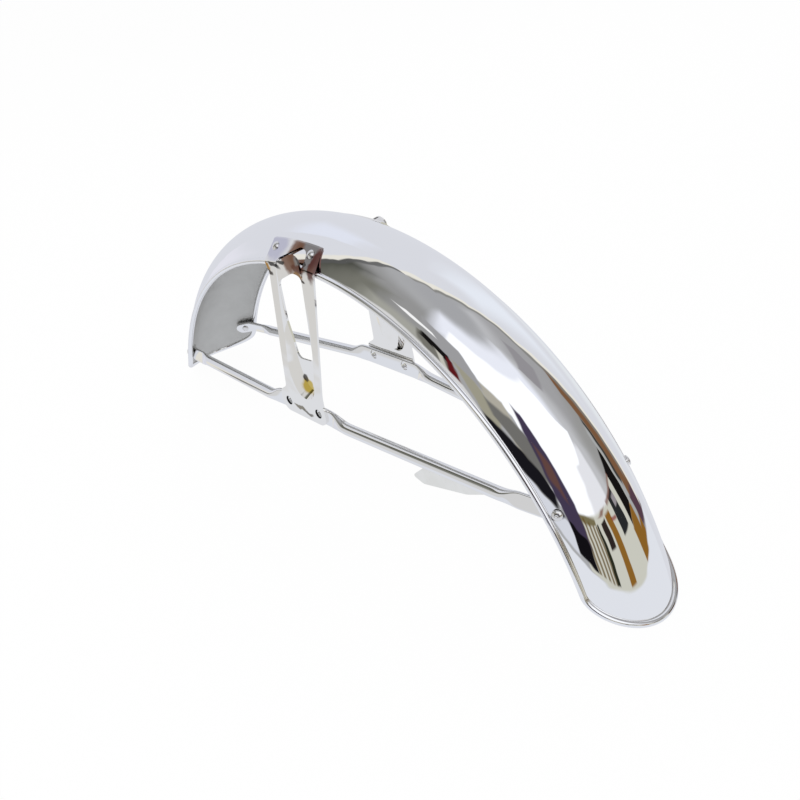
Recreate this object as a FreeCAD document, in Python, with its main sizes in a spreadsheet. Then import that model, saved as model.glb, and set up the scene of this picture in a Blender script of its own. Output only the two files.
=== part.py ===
import FreeCAD, Part
import math
import os

import Sketcher

Vector = FreeCAD.Vector

# Frame: +X forward towards the rounded tip, +Y to the rider's left, +Z up.
# The mudguard stands on its two ends, and the origin lies on that surface under its middle.
# Heights and radii in the table are measured from the axle of the wheel that the guard covers.

SIZES = [
    ("rim_radius", 302.0, "axle to the middle of the rolled bead"),
    ("crown_rise", 27.9, "rim to the outside of the crown"),
    ("section_radius", 48.3, "outside radius of the domed section"),
    ("sheet", 1.0, "thickness of the blade's sheet"),
    ("bead_radius", 2.7, "radius of the rolled bead"),
    ("end_angle", 73.3, "arc from the top to each end"),
    ("tip_end_radius", 46.0, "radius across the front tip"),
    ("tip_corner_radius", 38.0, "corner radius of the front tip"),
    ("tail_end_radius", 130.0, "radius across the rear end"),
    ("tail_corner_radius", 38.0, "corner radius of the rear end"),
    ("plate", 1.8, "thickness of the fork brackets"),
    ("bracket_top", 319.5, "axle to the bracket's upper edge"),
    ("bead_gap", 0.3, "clearance of the brackets over the bead"),
    ("seat_gap", 0.15, "clearance of the brackets over the blade"),
    ("foot_top", 178.0, "axle to the top of the bracket's flat foot"),
    ("foot_face", 53.5, "middle plane to the inside face of the foot"),
    ("bend_radius", 2.0, "inside bend radius of the bracket"),
    ("foot_margin", 11.6, "fork bolt to the edge of the foot"),
    ("pan_gap", 0.4, "clearance of the pan's floor over the bead"),
    ("window_top", 298.5, "axle to the top of the window"),
    ("window_bottom", 213.0, "axle to the bottom of the window"),
    ("tongue_top", 315.0, "axle to the top of the tongue above the bend"),
    ("arch_gap", 1.7, "slot between the tongue and the bent top"),
    ("bolt_hole_radius", 4.25, "bore for an M8 fork bolt"),
    ("bolt_pitch", 46.0, "distance between the two fork bolts"),
    ("bolt_middle_x", -30.6, "middle of the two fork bolts, ahead of the axle"),
    ("bolt_middle_z", 162.4, "axle to the middle of the two fork bolts"),
    ("bolt_slope", 4.2, "slope of the line through the two fork bolts"),
    ("tube_radius", 5.4, "radius of the stay tube"),
    ("flat_thickness", 4.0, "thickness of the stay's flattened middle"),
    ("flat_height", 17.4, "height of the stay's flattened middle"),
    ("flat_length", 76.0, "length of the stay's flattened middle"),
    ("flat_drop", 2.4, "middle of the flat below the bolt line"),
    ("rear_tube_drop", 6.1, "rear tube below the bolt line"),
    ("front_tube_drop", 5.6, "front tube below the bolt line"),
    ("front_tube_slope", 2.8, "slope of the front tube"),
    ("front_kink_x", 196.0, "where the front tube turns up to its tab"),
    ("tab_thickness", 3.6, "thickness of the stay's flattened ends"),
    ("tab_width", 14.0, "width of the stay's flattened ends"),
    ("tab_reach", 13.0, "rivet to the rounded end of the tab"),
    ("tab_bend", 9.0, "rivet to the bend of the tab"),
    ("tab_length", 24.0, "bend to the end of the flattened part"),
    ("taper_length", 20.0, "length of each change from tube to flat"),
    ("front_rivet_angle", 54.5, "arc from the top to the front stay rivet"),
    ("rear_rivet_angle", 65.5, "arc from the top to the rear stay rivet"),
    ("stay_rivet_radius", 309.0, "axle to the stay rivets at the blade"),
    ("pad_raise", 1.3, "raised pads proud of the sheet"),
    ("pad_seat", 3.5, "tab's face below the sheet's outer face"),
    ("pad_length", 40.0, "length of the raised pads"),
    ("pad_width", 14.0, "width of the raised pads"),
    ("shank_radius", 2.4, "shank of every rivet"),
    ("shank_clearance", 0.1, "radial clearance round every shank"),
    ("head_radius", 4.1, "head of every rivet"),
    ("head_height", 2.3, "height of every rivet head"),
    ("tail_radius", 3.5, "closed end of every rivet"),
    ("tail_height", 1.5, "height of the closed end"),
    ("rear_bracket_rivet", 9.0, "arc from the top back to the rear bracket rivet"),
    ("front_bracket_rivet", 0.2, "arc from the top to the front bracket rivet"),
    ("bracket_rivet_radius", 314.4, "axle to the bracket rivets at the plate"),
    ("guide_plate", 2.0, "thickness of the cable guide"),
    ("guide_gap", 0.1, "clearance between the cable guide and the tube"),
    ("guide_start", 107.0, "tip of the cable guide, ahead of the axle"),
    ("guide_length", 91.0, "length of the cable guide"),
    ("guide_depth", 20.0, "tube's middle to the lowest point of the guide"),
]

doc = FreeCAD.newDocument("front_mudguard")
sheet = doc.addObject("Spreadsheet::Sheet", "sizes")
for row, (name, value, note) in enumerate(SIZES, 1):
    sheet.set("A%d" % row, name)
    sheet.set("B%d" % row, str(value))
    sheet.set("C%d" % row, note)
    sheet.setAlias("B%d" % row, name)
doc.recompute()


def size(name):
    """Value of one size in the table."""
    return float(sheet.get(name))


# Sizes that follow from the table

crown_radius = size("rim_radius") + size("crown_rise")
section_radius = size("section_radius")
section_centre = crown_radius - section_radius
half_width = math.sqrt(section_radius ** 2 - (size("rim_radius") - section_centre) ** 2)
end_angle = math.radians(size("end_angle"))
axle_drop = crown_radius * math.cos(end_angle) - size("bead_radius")
bead_outside = half_width + size("bead_radius")

AXLE_DROP = (
    "((sizes.rim_radius + sizes.crown_rise) * cos(sizes.end_angle) - sizes.bead_radius)"
)
SECTION_CENTRE = "(sizes.rim_radius + sizes.crown_rise - sizes.section_radius)"


def polar(radius, angle, y):
    """Point at a radius and an angle forward from the top, at a distance from the middle plane."""
    return Vector(radius * math.sin(angle), y, radius * math.cos(angle))


def lift(obj):
    """Places a shape drawn round the axle so that the guard stands on its ends."""
    obj.Placement = FreeCAD.Placement(Vector(0, 0, -axle_drop), FreeCAD.Rotation())
    return obj


def feature(label, shape):
    """Adds a finished shape, drawn round the axle, as a labelled object."""
    obj = doc.addObject("Part::Feature", label)
    obj.Label = label
    obj.Shape = shape
    return lift(obj)


def origin_plane(body, role):
    """One of the origin planes of a body."""
    return [plane for plane in body.Origin.OriginFeatures if plane.Role == role][0]


def new_sketch(body, name, role):
    """A sketch on one of the origin planes of a body."""
    sketch = body.newObject("Sketcher::SketchObject", name)
    sketch.AttachmentSupport = (origin_plane(body, role), [""])
    sketch.MapMode = "FlatFace"
    return sketch


def add_size(sketch, rule, name, expression):
    """Adds a named size to a sketch and ties it to the table when an expression is given."""
    index = sketch.addConstraint(Sketcher.Constraint(*rule))
    sketch.renameConstraint(index, name)
    if expression:
        sketch.setExpression("Constraints." + name, expression)


def meet(first, first_along, second, second_along):
    """Point where two lines in the plane x = 0 cross."""
    turn = first_along.y * second_along.z - first_along.z * second_along.y
    apart = second - first
    reach = (apart.y * second_along.z - apart.z * second_along.y) / turn
    return first + first_along * reach


def obround(first, last, radius):
    """Closed wire round two points on the X axis."""
    low, high = sorted((first.x, last.x))
    return Part.Wire([
        Part.LineSegment(Vector(low, radius, 0), Vector(high, radius, 0)).toShape(),
        Part.Arc(
            Vector(high, radius, 0), Vector(high + radius, 0, 0), Vector(high, -radius, 0)
        ).toShape(),
        Part.LineSegment(Vector(high, -radius, 0), Vector(low, -radius, 0)).toShape(),
        Part.Arc(
            Vector(low, -radius, 0), Vector(low - radius, 0, 0), Vector(low, radius, 0)
        ).toShape(),
    ])


def rounded_wire(corners):
    """Closed wire through (point, radius) corners in one plane, each rounded by its radius."""
    ends = []
    count = len(corners)
    for index, (corner, radius) in enumerate(corners):
        into = (corners[index - 1][0] - corner).normalize()
        away = (corners[(index + 1) % count][0] - corner).normalize()
        if radius <= 0:
            ends.append((corner, None, corner))
            continue
        half = into.getAngle(away) / 2
        cut = radius / math.tan(half)
        middle = corner + (into + away).normalize() * (radius / math.sin(half) - radius)
        ends.append((corner + into * cut, middle, corner + away * cut))
    edges = []
    for index, (start, middle, finish) in enumerate(ends):
        if middle:
            edges.append(Part.Arc(start, middle, finish).toShape())
        following = ends[(index + 1) % count][0]
        if finish.distanceToPoint(following) > 1e-4:
            edges.append(Part.LineSegment(finish, following).toShape())
    return Part.Wire(edges)


def local_frame(side, angle, tilt, point):
    """Placement with Z along the outward normal and X along the rim, at a point of the section.

    The normal leans up from the outward direction by the tilt, and the point is (y, radius).
    """
    outward = Vector(0, side, 0)
    radial = Vector(math.sin(angle), 0, math.cos(angle))
    along = Vector(math.cos(angle), 0, -math.sin(angle))
    normal = outward * math.cos(tilt) + radial * math.sin(tilt)
    across = normal.cross(along)
    base = radial * point[1] + outward * point[0]
    matrix = FreeCAD.Matrix(
        along.x, across.x, normal.x, base.x,
        along.y, across.y, normal.y, base.y,
        along.z, across.z, normal.z, base.z,
        0, 0, 0, 1,
    )
    return FreeCAD.Placement(matrix)


# Blade: a domed section turned about the axle, with both ends rounded

END_BACK = math.radians(8.0)
END_STATIONS = 24
LEAD_STEPS = (12.0, 8.0, 4.0)
WIDE_END = 12.0
TIP = (1, size("tip_end_radius"), size("tip_corner_radius"))
TAIL = (-1, size("tail_end_radius"), size("tail_corner_radius"))


def end_outline(end_radius, corner_radius):
    """Key distances of an end seen from outside, measured along the rim.

    Returns the reach of the end, the sideways and forward position of the corner's centre, and
    the angle at which the corner meets the arc across the end.
    """
    reach = crown_radius * math.sin(END_BACK)
    inset = half_width - corner_radius
    centre = reach - end_radius + math.sqrt((end_radius - corner_radius) ** 2 - inset ** 2)
    joint = math.atan2(inset, centre - (reach - end_radius))
    return reach, inset, centre, joint


def end_cutter(direction, end_radius, corner_radius):
    """Solid that takes away everything beyond the outline of an end."""
    reach, inset, centre, joint = end_outline(end_radius, corner_radius)
    margin = 25.0
    outer = half_width + margin
    middle = (math.pi / 2 + joint) / 2
    arcs = []
    for side in (-1, 1):
        rim_point = Vector(centre, side * half_width, 0)
        corner_point = Vector(
            centre + corner_radius * math.cos(middle),
            side * (inset + corner_radius * math.sin(middle)),
            0,
        )
        joint_point = Vector(
            reach - end_radius + end_radius * math.cos(joint),
            side * end_radius * math.sin(joint),
            0,
        )
        arcs.append((rim_point, corner_point, joint_point))
    right, left = arcs
    path = [
        left[0],
        Vector(centre, outer, 0),
        Vector(reach + margin, outer, 0),
        Vector(reach + margin, -outer, 0),
        Vector(centre, -outer, 0),
        right[0],
    ]
    edges = [
        Part.Arc(*right).toShape(),
        Part.Arc(right[2], Vector(reach, 0, 0), left[2]).toShape(),
        Part.Arc(left[2], left[1], left[0]).toShape(),
    ]
    edges += [Part.LineSegment(first, last).toShape() for first, last in zip(path, path[1:])]
    block = Part.Face(Part.Wire(edges)).extrude(Vector(0, 0, 4 * margin))
    block.translate(Vector(0, 0, section_centre - margin))
    if direction < 0:
        block = block.mirror(Vector(0, 0, 0), Vector(1, 0, 0))
    turn = math.degrees(end_angle - END_BACK) * direction
    block.rotate(Vector(0, 0, 0), Vector(0, 1, 0), turn)
    return block


def end_points(direction, end_radius, corner_radius, steps=6):
    """Points of the bead's centre line round one end, from the right rim to the left rim.

    The first and last points lie a little way back along the rims, at the returned angle.
    """
    reach, inset, centre, joint = end_outline(end_radius, corner_radius)
    half = []
    for step in range(steps + 1):
        turn = math.pi / 2 + (joint - math.pi / 2) * step / steps
        across = inset + corner_radius * math.sin(turn)
        half.append((across, centre + corner_radius * math.cos(turn)))
    if joint * end_radius > WIDE_END:
        for step in range(1, steps // 2):
            turn = joint * (1 - 2 * step / steps)
            across = end_radius * math.sin(turn)
            half.append((across, reach - end_radius + end_radius * math.cos(turn)))
    half.append((0, reach))
    outline = [(-across, along) for across, along in half] + half[-2::-1]
    points = []
    for across, along in outline:
        radius = section_centre + math.sqrt(section_radius ** 2 - across ** 2)
        angle = direction * (end_angle - END_BACK + math.asin(along / radius))
        points.append(polar(radius, angle, across))
    rim_radius = size("rim_radius")
    rim = end_angle - END_BACK + math.asin(centre / rim_radius)
    lead = [rim - back / rim_radius for back in LEAD_STEPS]
    right = [polar(rim_radius, direction * angle, -half_width) for angle in lead]
    left = [polar(rim_radius, direction * angle, half_width) for angle in lead[::-1]]
    return right + points + left, direction * lead[0]


def bead_ring(point, tangent):
    """Round section of the bead whose seam faces away from the blade."""
    outward = point - polar(section_centre, math.atan2(point.x, point.z), 0)
    circle = Part.Circle(point, tangent, size("bead_radius"))
    start = circle.XAxis
    turn = math.atan2(start.cross(outward).dot(tangent), start.dot(outward))
    ring = Part.Wire([circle.toShape()])
    ring.rotate(point, tangent, math.degrees(turn))
    return ring


def rim_ring(angle, side, turn=1):
    """Section of the bead on a rim, facing forward round the rim or back."""
    along = Vector(math.cos(angle), 0, -math.sin(angle)) * turn
    return bead_ring(polar(size("rim_radius"), angle, side * half_width), along)


def rolled_bead():
    """Four round lengths that make the closed bead: both ends and both rims."""
    solids = []
    starts = []
    for end in (TIP, TAIL):
        points, start = end_points(*end)
        starts.append(start)
        curve = Part.BSplineCurve()
        curve.interpolate(points)
        edge = curve.toShape()
        rings = [rim_ring(start, -1, end[0])]
        for step in range(1, END_STATIONS):
            place = edge.getParameterByLength(edge.Length * step / END_STATIONS)
            rings.append(bead_ring(edge.valueAt(place), edge.tangentAt(place)))
        rings.append(rim_ring(start, 1, -end[0]))
        solids.append(Part.makeLoft(rings, True, False))
    front, rear = starts
    for side in (-1, 1):
        section = Part.Face(rim_ring(rear, side))
        turn = math.degrees(front - rear)
        solids.append(section.revolve(Vector(0, 0, 0), Vector(0, 1, 0), turn))
    return solids


def blade_shell():
    """Body with the domed sheet turned about the axle."""
    body = doc.addObject("PartDesign::Body", "blade_shell")
    sketch = new_sketch(body, "blade_section", "YZ_Plane")
    level = size("rim_radius") - section_centre
    outer = section_radius
    inner = outer - size("sheet")
    centre = Vector(0, section_centre, 0)
    outer_end = math.atan2(level, half_width)
    inner_end = math.asin(level / inner)
    inner_half = inner * math.cos(inner_end)
    rim = size("rim_radius")
    upward = Vector(0, 0, 1)
    sketch.addGeometry(
        Part.ArcOfCircle(Part.Circle(centre, upward, outer), outer_end, math.pi - outer_end)
    )
    sketch.addGeometry(
        Part.ArcOfCircle(Part.Circle(centre, upward, inner), inner_end, math.pi - inner_end)
    )
    sketch.addGeometry(Part.LineSegment(Vector(half_width, rim, 0), Vector(inner_half, rim, 0)))
    sketch.addGeometry(Part.LineSegment(Vector(-inner_half, rim, 0), Vector(-half_width, rim, 0)))
    for rule in (
        ("Coincident", 0, 3, 1, 3),
        ("PointOnObject", 0, 3, -2),
        ("Coincident", 2, 1, 0, 1),
        ("Coincident", 2, 2, 1, 1),
        ("Coincident", 3, 1, 1, 2),
        ("Coincident", 3, 2, 0, 2),
        ("Horizontal", 2),
        ("Horizontal", 3),
    ):
        sketch.addConstraint(Sketcher.Constraint(*rule))
    add_size(sketch, ("Radius", 0, outer), "outer_radius", "sizes.section_radius")
    add_size(sketch, ("Radius", 1, inner), "inner_radius", "sizes.section_radius - sizes.sheet")
    add_size(sketch, ("DistanceY", -1, 1, 0, 3, section_centre), "centre_height", SECTION_CENTRE)
    add_size(sketch, ("DistanceY", -1, 1, 2, 1, rim), "right_rim_height", "sizes.rim_radius")
    add_size(sketch, ("DistanceY", -1, 1, 3, 2, rim), "left_rim_height", "sizes.rim_radius")
    turn = body.newObject("PartDesign::Revolution", "blade_turn")
    turn.Profile = sketch
    turn.ReferenceAxis = (sketch, ["H_Axis"])
    turn.Midplane = True
    turn.setExpression("Angle", "2 * sizes.end_angle + 2")
    doc.recompute()
    return body


# Where each rivet goes

STAY_RIVETS = {
    "front": math.radians(size("front_rivet_angle")),
    "rear": -math.radians(size("rear_rivet_angle")),
}
BRACKET_RIVETS = {
    "front": math.radians(size("front_bracket_rivet")),
    "rear": -math.radians(size("rear_bracket_rivet")),
}
SIDES = {"right": -1, "left": 1}

stay_tilt = math.asin((size("stay_rivet_radius") - section_centre) / section_radius)
rim_tilt = math.asin((size("rim_radius") - section_centre) / section_radius)

# The bracket's bent top touches the crown and clears the bead: the tilt of its normal follows

plate_inside = section_radius + size("seat_gap")
plate_outside = plate_inside + size("plate")
clear_of_bead = size("bead_radius") + size("bead_gap")
plate_tilt = rim_tilt + math.acos((plate_inside - clear_of_bead) / section_radius)


def stay_frame(side, angle, height):
    """Placement at a stay rivet, at a height from the centre of the section."""
    point = (height * math.cos(stay_tilt), section_centre + height * math.sin(stay_tilt))
    return local_frame(side, angle, stay_tilt, point)


def bracket_frame(side, angle, height):
    """Placement at a bracket rivet, at a height from the centre of the section."""
    level = size("bracket_rivet_radius") - section_centre
    down = (plate_outside * math.sin(plate_tilt) - level) / math.cos(plate_tilt)
    point = (
        height * math.cos(plate_tilt) + down * math.sin(plate_tilt),
        section_centre + height * math.sin(plate_tilt) - down * math.cos(plate_tilt),
    )
    return local_frame(side, angle, plate_tilt, point)


def rivet_bore(placement, length):
    """Round solid for a rivet's hole, centred on a placement."""
    radius = size("shank_radius") + size("shank_clearance")
    bore = Part.makeCylinder(radius, length, Vector(0, 0, -length / 2))
    bore.Placement = placement
    return bore


def raised_pad(side, angle):
    """Raised pad on the outside of the blade and the flat seat for the tab behind it."""
    direction = 1 if angle > 0 else -1
    half = size("pad_width") / 2
    near = Vector(direction * half, 0, 0)
    far = Vector(direction * (half - size("pad_length")), 0, 0)
    outline = obround(Vector(0, 0, 0), far, half)
    prism = Part.Face(outline).extrude(Vector(0, 0, 14))
    prism.Placement = stay_frame(side, angle, section_radius - 7)
    skin = Part.Face(
        Part.Wire([Part.makeCircle(section_radius + size("pad_raise"), Vector(0, 0, 0),
                                   Vector(1, 0, 0))])
    )
    skin.translate(Vector(0, 0, section_centre))
    swept = skin.revolve(Vector(0, 0, 0), Vector(0, 1, 0), 20)
    swept.rotate(Vector(0, 0, 0), Vector(0, 1, 0), math.degrees(angle) - 10)
    seat_level = section_radius - size("pad_seat")
    seat = Part.makeCylinder(size("pad_width") / 2 - 1, size("pad_seat") - 0.4)
    seat.Placement = stay_frame(side, angle, seat_level)
    inside = Part.Face(
        Part.Wire([Part.makeCircle(section_radius - size("sheet") / 2, Vector(0, 0, 0),
                                   Vector(1, 0, 0))])
    )
    inside.translate(Vector(0, 0, section_centre))
    hollow = inside.revolve(Vector(0, 0, 0), Vector(0, 1, 0), 30)
    hollow.rotate(Vector(0, 0, 0), Vector(0, 1, 0), math.degrees(angle) - 15)
    return [prism.common(swept).cut(hollow), seat]


def blade_shape():
    """The whole blade, drawn round the axle."""
    shape = blade_shell().Shape
    for end in (TIP, TAIL):
        shape = shape.cut(end_cutter(*end))
    edged = shape.fuse(rolled_bead())
    if edged.Volume < shape.Volume:
        raise RuntimeError("the rolled bead did not join the sheet")
    shape = edged
    for side in SIDES.values():
        for angle in STAY_RIVETS.values():
            shape = shape.fuse(raised_pad(side, angle))
    bores = []
    for side in SIDES.values():
        for angle in STAY_RIVETS.values():
            bores.append(rivet_bore(stay_frame(side, angle, section_radius), 20))
        for angle in BRACKET_RIVETS.values():
            bores.append(rivet_bore(bracket_frame(side, angle, section_radius), 12))
    return shape.cut(bores)


# Fork brackets: a pressed plate with a bent top, a dished and windowed leg and a flat foot

LEG_OUTLINE = [
    # forward of the axle, above the axle, corner radius
    (-58.0, 325.0, 0.5),
    (7.5, 326.0, 0.5),
    (14.7, 301.5, 4.0),
    (1.2, 184.0, 25.0),
    (3.8, 153.2, 11.0),
    (-65.0, 148.2, 10.5),
    (-65.0, 169.0, 8.0),
    (-54.3, 176.0, 6.0),
    (-50.6, 290.0, 4.0),
    (-55.0, 297.5, 3.0),
]
PAN_MOUTH = [
    # forward of the axle, above the axle: down the rear side, round the bottom, up the front
    (-40.3, 300.0), (-42.2, 268.0), (-42.9, 252.0), (-43.8, 240.0), (-44.9, 229.0),
    (-46.3, 213.0), (-47.2, 196.0), (-43.8, 186.0), (-36.9, 176.5), (-28.4, 172.4),
    (-19.0, 173.5), (-10.0, 180.5), (-6.5, 193.0), (-3.2, 216.0), (-0.1, 260.0), (0.6, 300.0),
]
PAN_FLOOR = [
    (-39.2, 300.0), (-40.4, 268.0), (-39.9, 252.0), (-37.6, 242.0), (-35.7, 231.0),
    (-34.0, 217.0), (-31.0, 200.0), (-27.0, 189.0), (-22.0, 183.5), (-16.5, 182.5),
    (-12.5, 185.0), (-10.0, 190.5), (-8.0, 198.0), (-5.2, 217.0), (-1.5, 260.0), (-0.6, 300.0),
]
WINDOW_TOP = [(-39.3, -14.0, 9.0), (-14.0, 0.0, 16.0), (-3.4, -2.2, 5.0)]
WINDOW_BOTTOM = [(-9.4, 1.5, 6.0), (-32.4, -2.0, 6.0), (-34.6, 13.0, 20.0), (-39.1, 34.0, 15.0)]
TONGUE = [
    (-37.5, -22.0, 1.0), (-36.0, -12.0, 6.0), (-14.0, 0.0, 7.0), (-4.6, -2.0, 6.0),
    (-2.2, -22.0, 1.0),
]


def plate_bend():
    """Where the inside faces of the bracket's bent top and its leg meet, in the plane x = 0."""
    lean = Vector(0, math.cos(plate_tilt), math.sin(plate_tilt))
    slide = Vector(0, math.sin(plate_tilt), -math.cos(plate_tilt))
    base = Vector(0, 0, section_centre) + lean * plate_inside
    return base + slide * ((bead_outside + size("bead_gap") - base.y) / slide.y)


def bracket_profile(inside, outside):
    """Face between two offsets of the bracket's bent section, in the plane x = 0."""
    lean = Vector(0, math.cos(plate_tilt), math.sin(plate_tilt))
    slide = Vector(0, math.sin(plate_tilt), -math.cos(plate_tilt))
    foot_y = size("foot_face")
    bend = plate_bend()
    base = Vector(0, 0, section_centre) + lean * plate_inside
    top = base + slide * ((size("bracket_top") + 2 - base.z) / slide.z)
    foot = Vector(0, foot_y, size("foot_top"))
    low = Vector(0, foot_y, size("foot_top") - 45)
    leg = (foot - bend).normalize()
    outward = [lean, Vector(0, -leg.z, leg.y), Vector(0, 1, 0)]
    lines = []
    for offset in (inside, outside):
        first, second, third = [normal * offset for normal in outward]
        along = [slide, leg, Vector(0, 0, -1)]
        lines.append([
            top + first,
            meet(bend + first, along[0], bend + second, along[1]),
            meet(foot + second, along[1], foot + third, along[2]),
            low + third,
        ])
    inner, outer = lines
    inner_radius = size("bend_radius") + inside
    outer_radius = size("bend_radius") + outside
    corners = [
        (inner[0], 0), (inner[1], inner_radius), (inner[2], 0), (inner[3], 0),
        (outer[3], 0), (outer[2], 0), (outer[1], outer_radius), (outer[0], 0),
    ]
    return Part.Face(rounded_wire(corners))


def spline_wire(points):
    """Wire with a smooth open curve through the points, closed by a straight line."""
    curve = Part.BSplineCurve()
    curve.interpolate(points)
    return Part.Wire([curve.toShape(), Part.LineSegment(points[-1], points[0]).toShape()])


def grown(outline, distance):
    """Points of an outline moved away from its middle line."""
    centre_x = sum(x for x, z in outline) / len(outline)
    result = []
    for x, z in outline:
        away = distance if x > centre_x else -distance
        down = distance if z < 200 else 0
        result.append((x + away, z - down))
    return result


def pan_solid(floor, mouth, floor_y, leg_y, slope, top):
    """Solid between the pan's floor and a plane that follows the leg."""
    low = [Vector(x, floor_y, z) for x, z in floor]
    high = [Vector(x, leg_y + slope * (top - z), z) for x, z in mouth]
    return Part.makeLoft([spline_wire(low), spline_wire(high)], True, True)


def upright_prism(corners, first_y, last_y):
    """Prism along Y from rounded corners given as (x, z, radius)."""
    wire = rounded_wire([(Vector(x, first_y, z), radius) for x, z, radius in corners])
    return Part.Face(wire).extrude(Vector(0, last_y - first_y, 0))


def bracket_shape():
    """The left bracket without its bolt holes, drawn round the axle."""
    thickness = size("plate")
    sweep = []
    for inside, outside in ((0, thickness), (-30, thickness)):
        turned = bracket_profile(inside, outside).revolve(Vector(0, 0, 0), Vector(0, 1, 0), 34)
        turned.rotate(Vector(0, 0, 0), Vector(0, 1, 0), -27)
        sweep.append(turned)
    plate, within = sweep
    outline = upright_prism(LEG_OUTLINE, 10, 70)
    cap = Part.makeCylinder(size("bracket_top"), 120, Vector(0, 0, 0), Vector(0, 1, 0))
    outline = outline.common(cap)
    within = within.common(outline)
    plate = plate.common(outline)
    floor_in = bead_outside + size("pan_gap")
    floor_out = floor_in + thickness
    bend_y = bead_outside + size("bead_gap") + thickness
    bend_z = plate_bend().z
    slope = (size("foot_face") - bend_y + thickness) / (bend_z - size("foot_top"))
    hollow = pan_solid(PAN_FLOOR, PAN_MOUTH, floor_out, bend_y + 1.0, slope, bend_z)
    skin = pan_solid(
        grown(PAN_FLOOR, 1.0), grown(PAN_MOUTH, 1.0), floor_in, bend_y + 1.0, slope, bend_z
    )
    top = size("window_top")
    bottom = size("window_bottom")
    window = [(x, top + z, r) for x, z, r in WINDOW_TOP]
    window += [(x, bottom + z, r) for x, z, r in WINDOW_BOTTOM]
    tongue = [(x, size("tongue_top") + z, r) for x, z, r in TONGUE]
    gap = size("arch_gap")
    arch = [(tongue[0][0] - gap, tongue[0][1] + 4, 1.0)]
    arch += [(tongue[1][0] - gap, tongue[1][1] + gap, 6.0)]
    arch += [(tongue[2][0], tongue[2][1] + gap, 8.0)]
    arch += [(tongue[3][0] + gap, tongue[3][1] + gap, 7.0)]
    arch += [(tongue[4][0] + gap, tongue[4][1] + 4, 1.0)]
    shape = plate.cut(hollow).fuse(skin.common(within).cut(hollow))
    shape = shape.cut(upright_prism(arch, 10, 70))
    shape = shape.fuse(upright_prism(tongue, floor_in, floor_out))
    shape = shape.cut(upright_prism(window, 10, 70))
    for angle in BRACKET_RIVETS.values():
        shape = shape.cut(rivet_bore(bracket_frame(1, angle, plate_outside), 12))
    return shape.removeSplitter()


# Stays: a tube flattened and drilled in the middle, with flattened and bent ends

def stay_section(centre, along, flat_normal, width, thickness):
    """Closed wire of four edges across a stay: an obround, or a circle when both sizes match."""
    along = Vector(along).normalize()
    across = along.cross(flat_normal).normalize()
    normal = across.cross(along).normalize()
    half = thickness / 2
    reach = width / 2 - half

    def point(u, v):
        return centre + across * u + normal * v

    if reach < 0.01:
        diagonal = half * math.sqrt(0.5)
        corners = [(-diagonal, diagonal), (diagonal, diagonal), (diagonal, -diagonal)]
        corners.append((-diagonal, -diagonal))
        middles = [(0, half), (half, 0), (0, -half), (-half, 0)]
        edges = []
        for index in range(4):
            first = point(*corners[index])
            last = point(*corners[(index + 1) % 4])
            edges.append(Part.Arc(first, point(*middles[index]), last).toShape())
        return Part.Wire(edges)
    top = Part.LineSegment(point(-reach, half), point(reach, half)).toShape()
    right = Part.Arc(point(reach, half), point(reach + half, 0), point(reach, -half)).toShape()
    base = Part.LineSegment(point(reach, -half), point(-reach, -half)).toShape()
    left = Part.Arc(point(-reach, -half), point(-reach - half, 0), point(-reach, half)).toShape()
    return Part.Wire([top, right, base, left])


def tab_vectors(angle, inward):
    """Directions at a stay rivet for the left side: the tab's normal and the tab towards the bend."""
    frame = stay_frame(1, angle, section_radius)
    normal = frame.Rotation.multVec(Vector(0, 0, 1))
    tab = (inward - normal * inward.dot(normal)).normalize()
    return normal, tab


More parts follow.
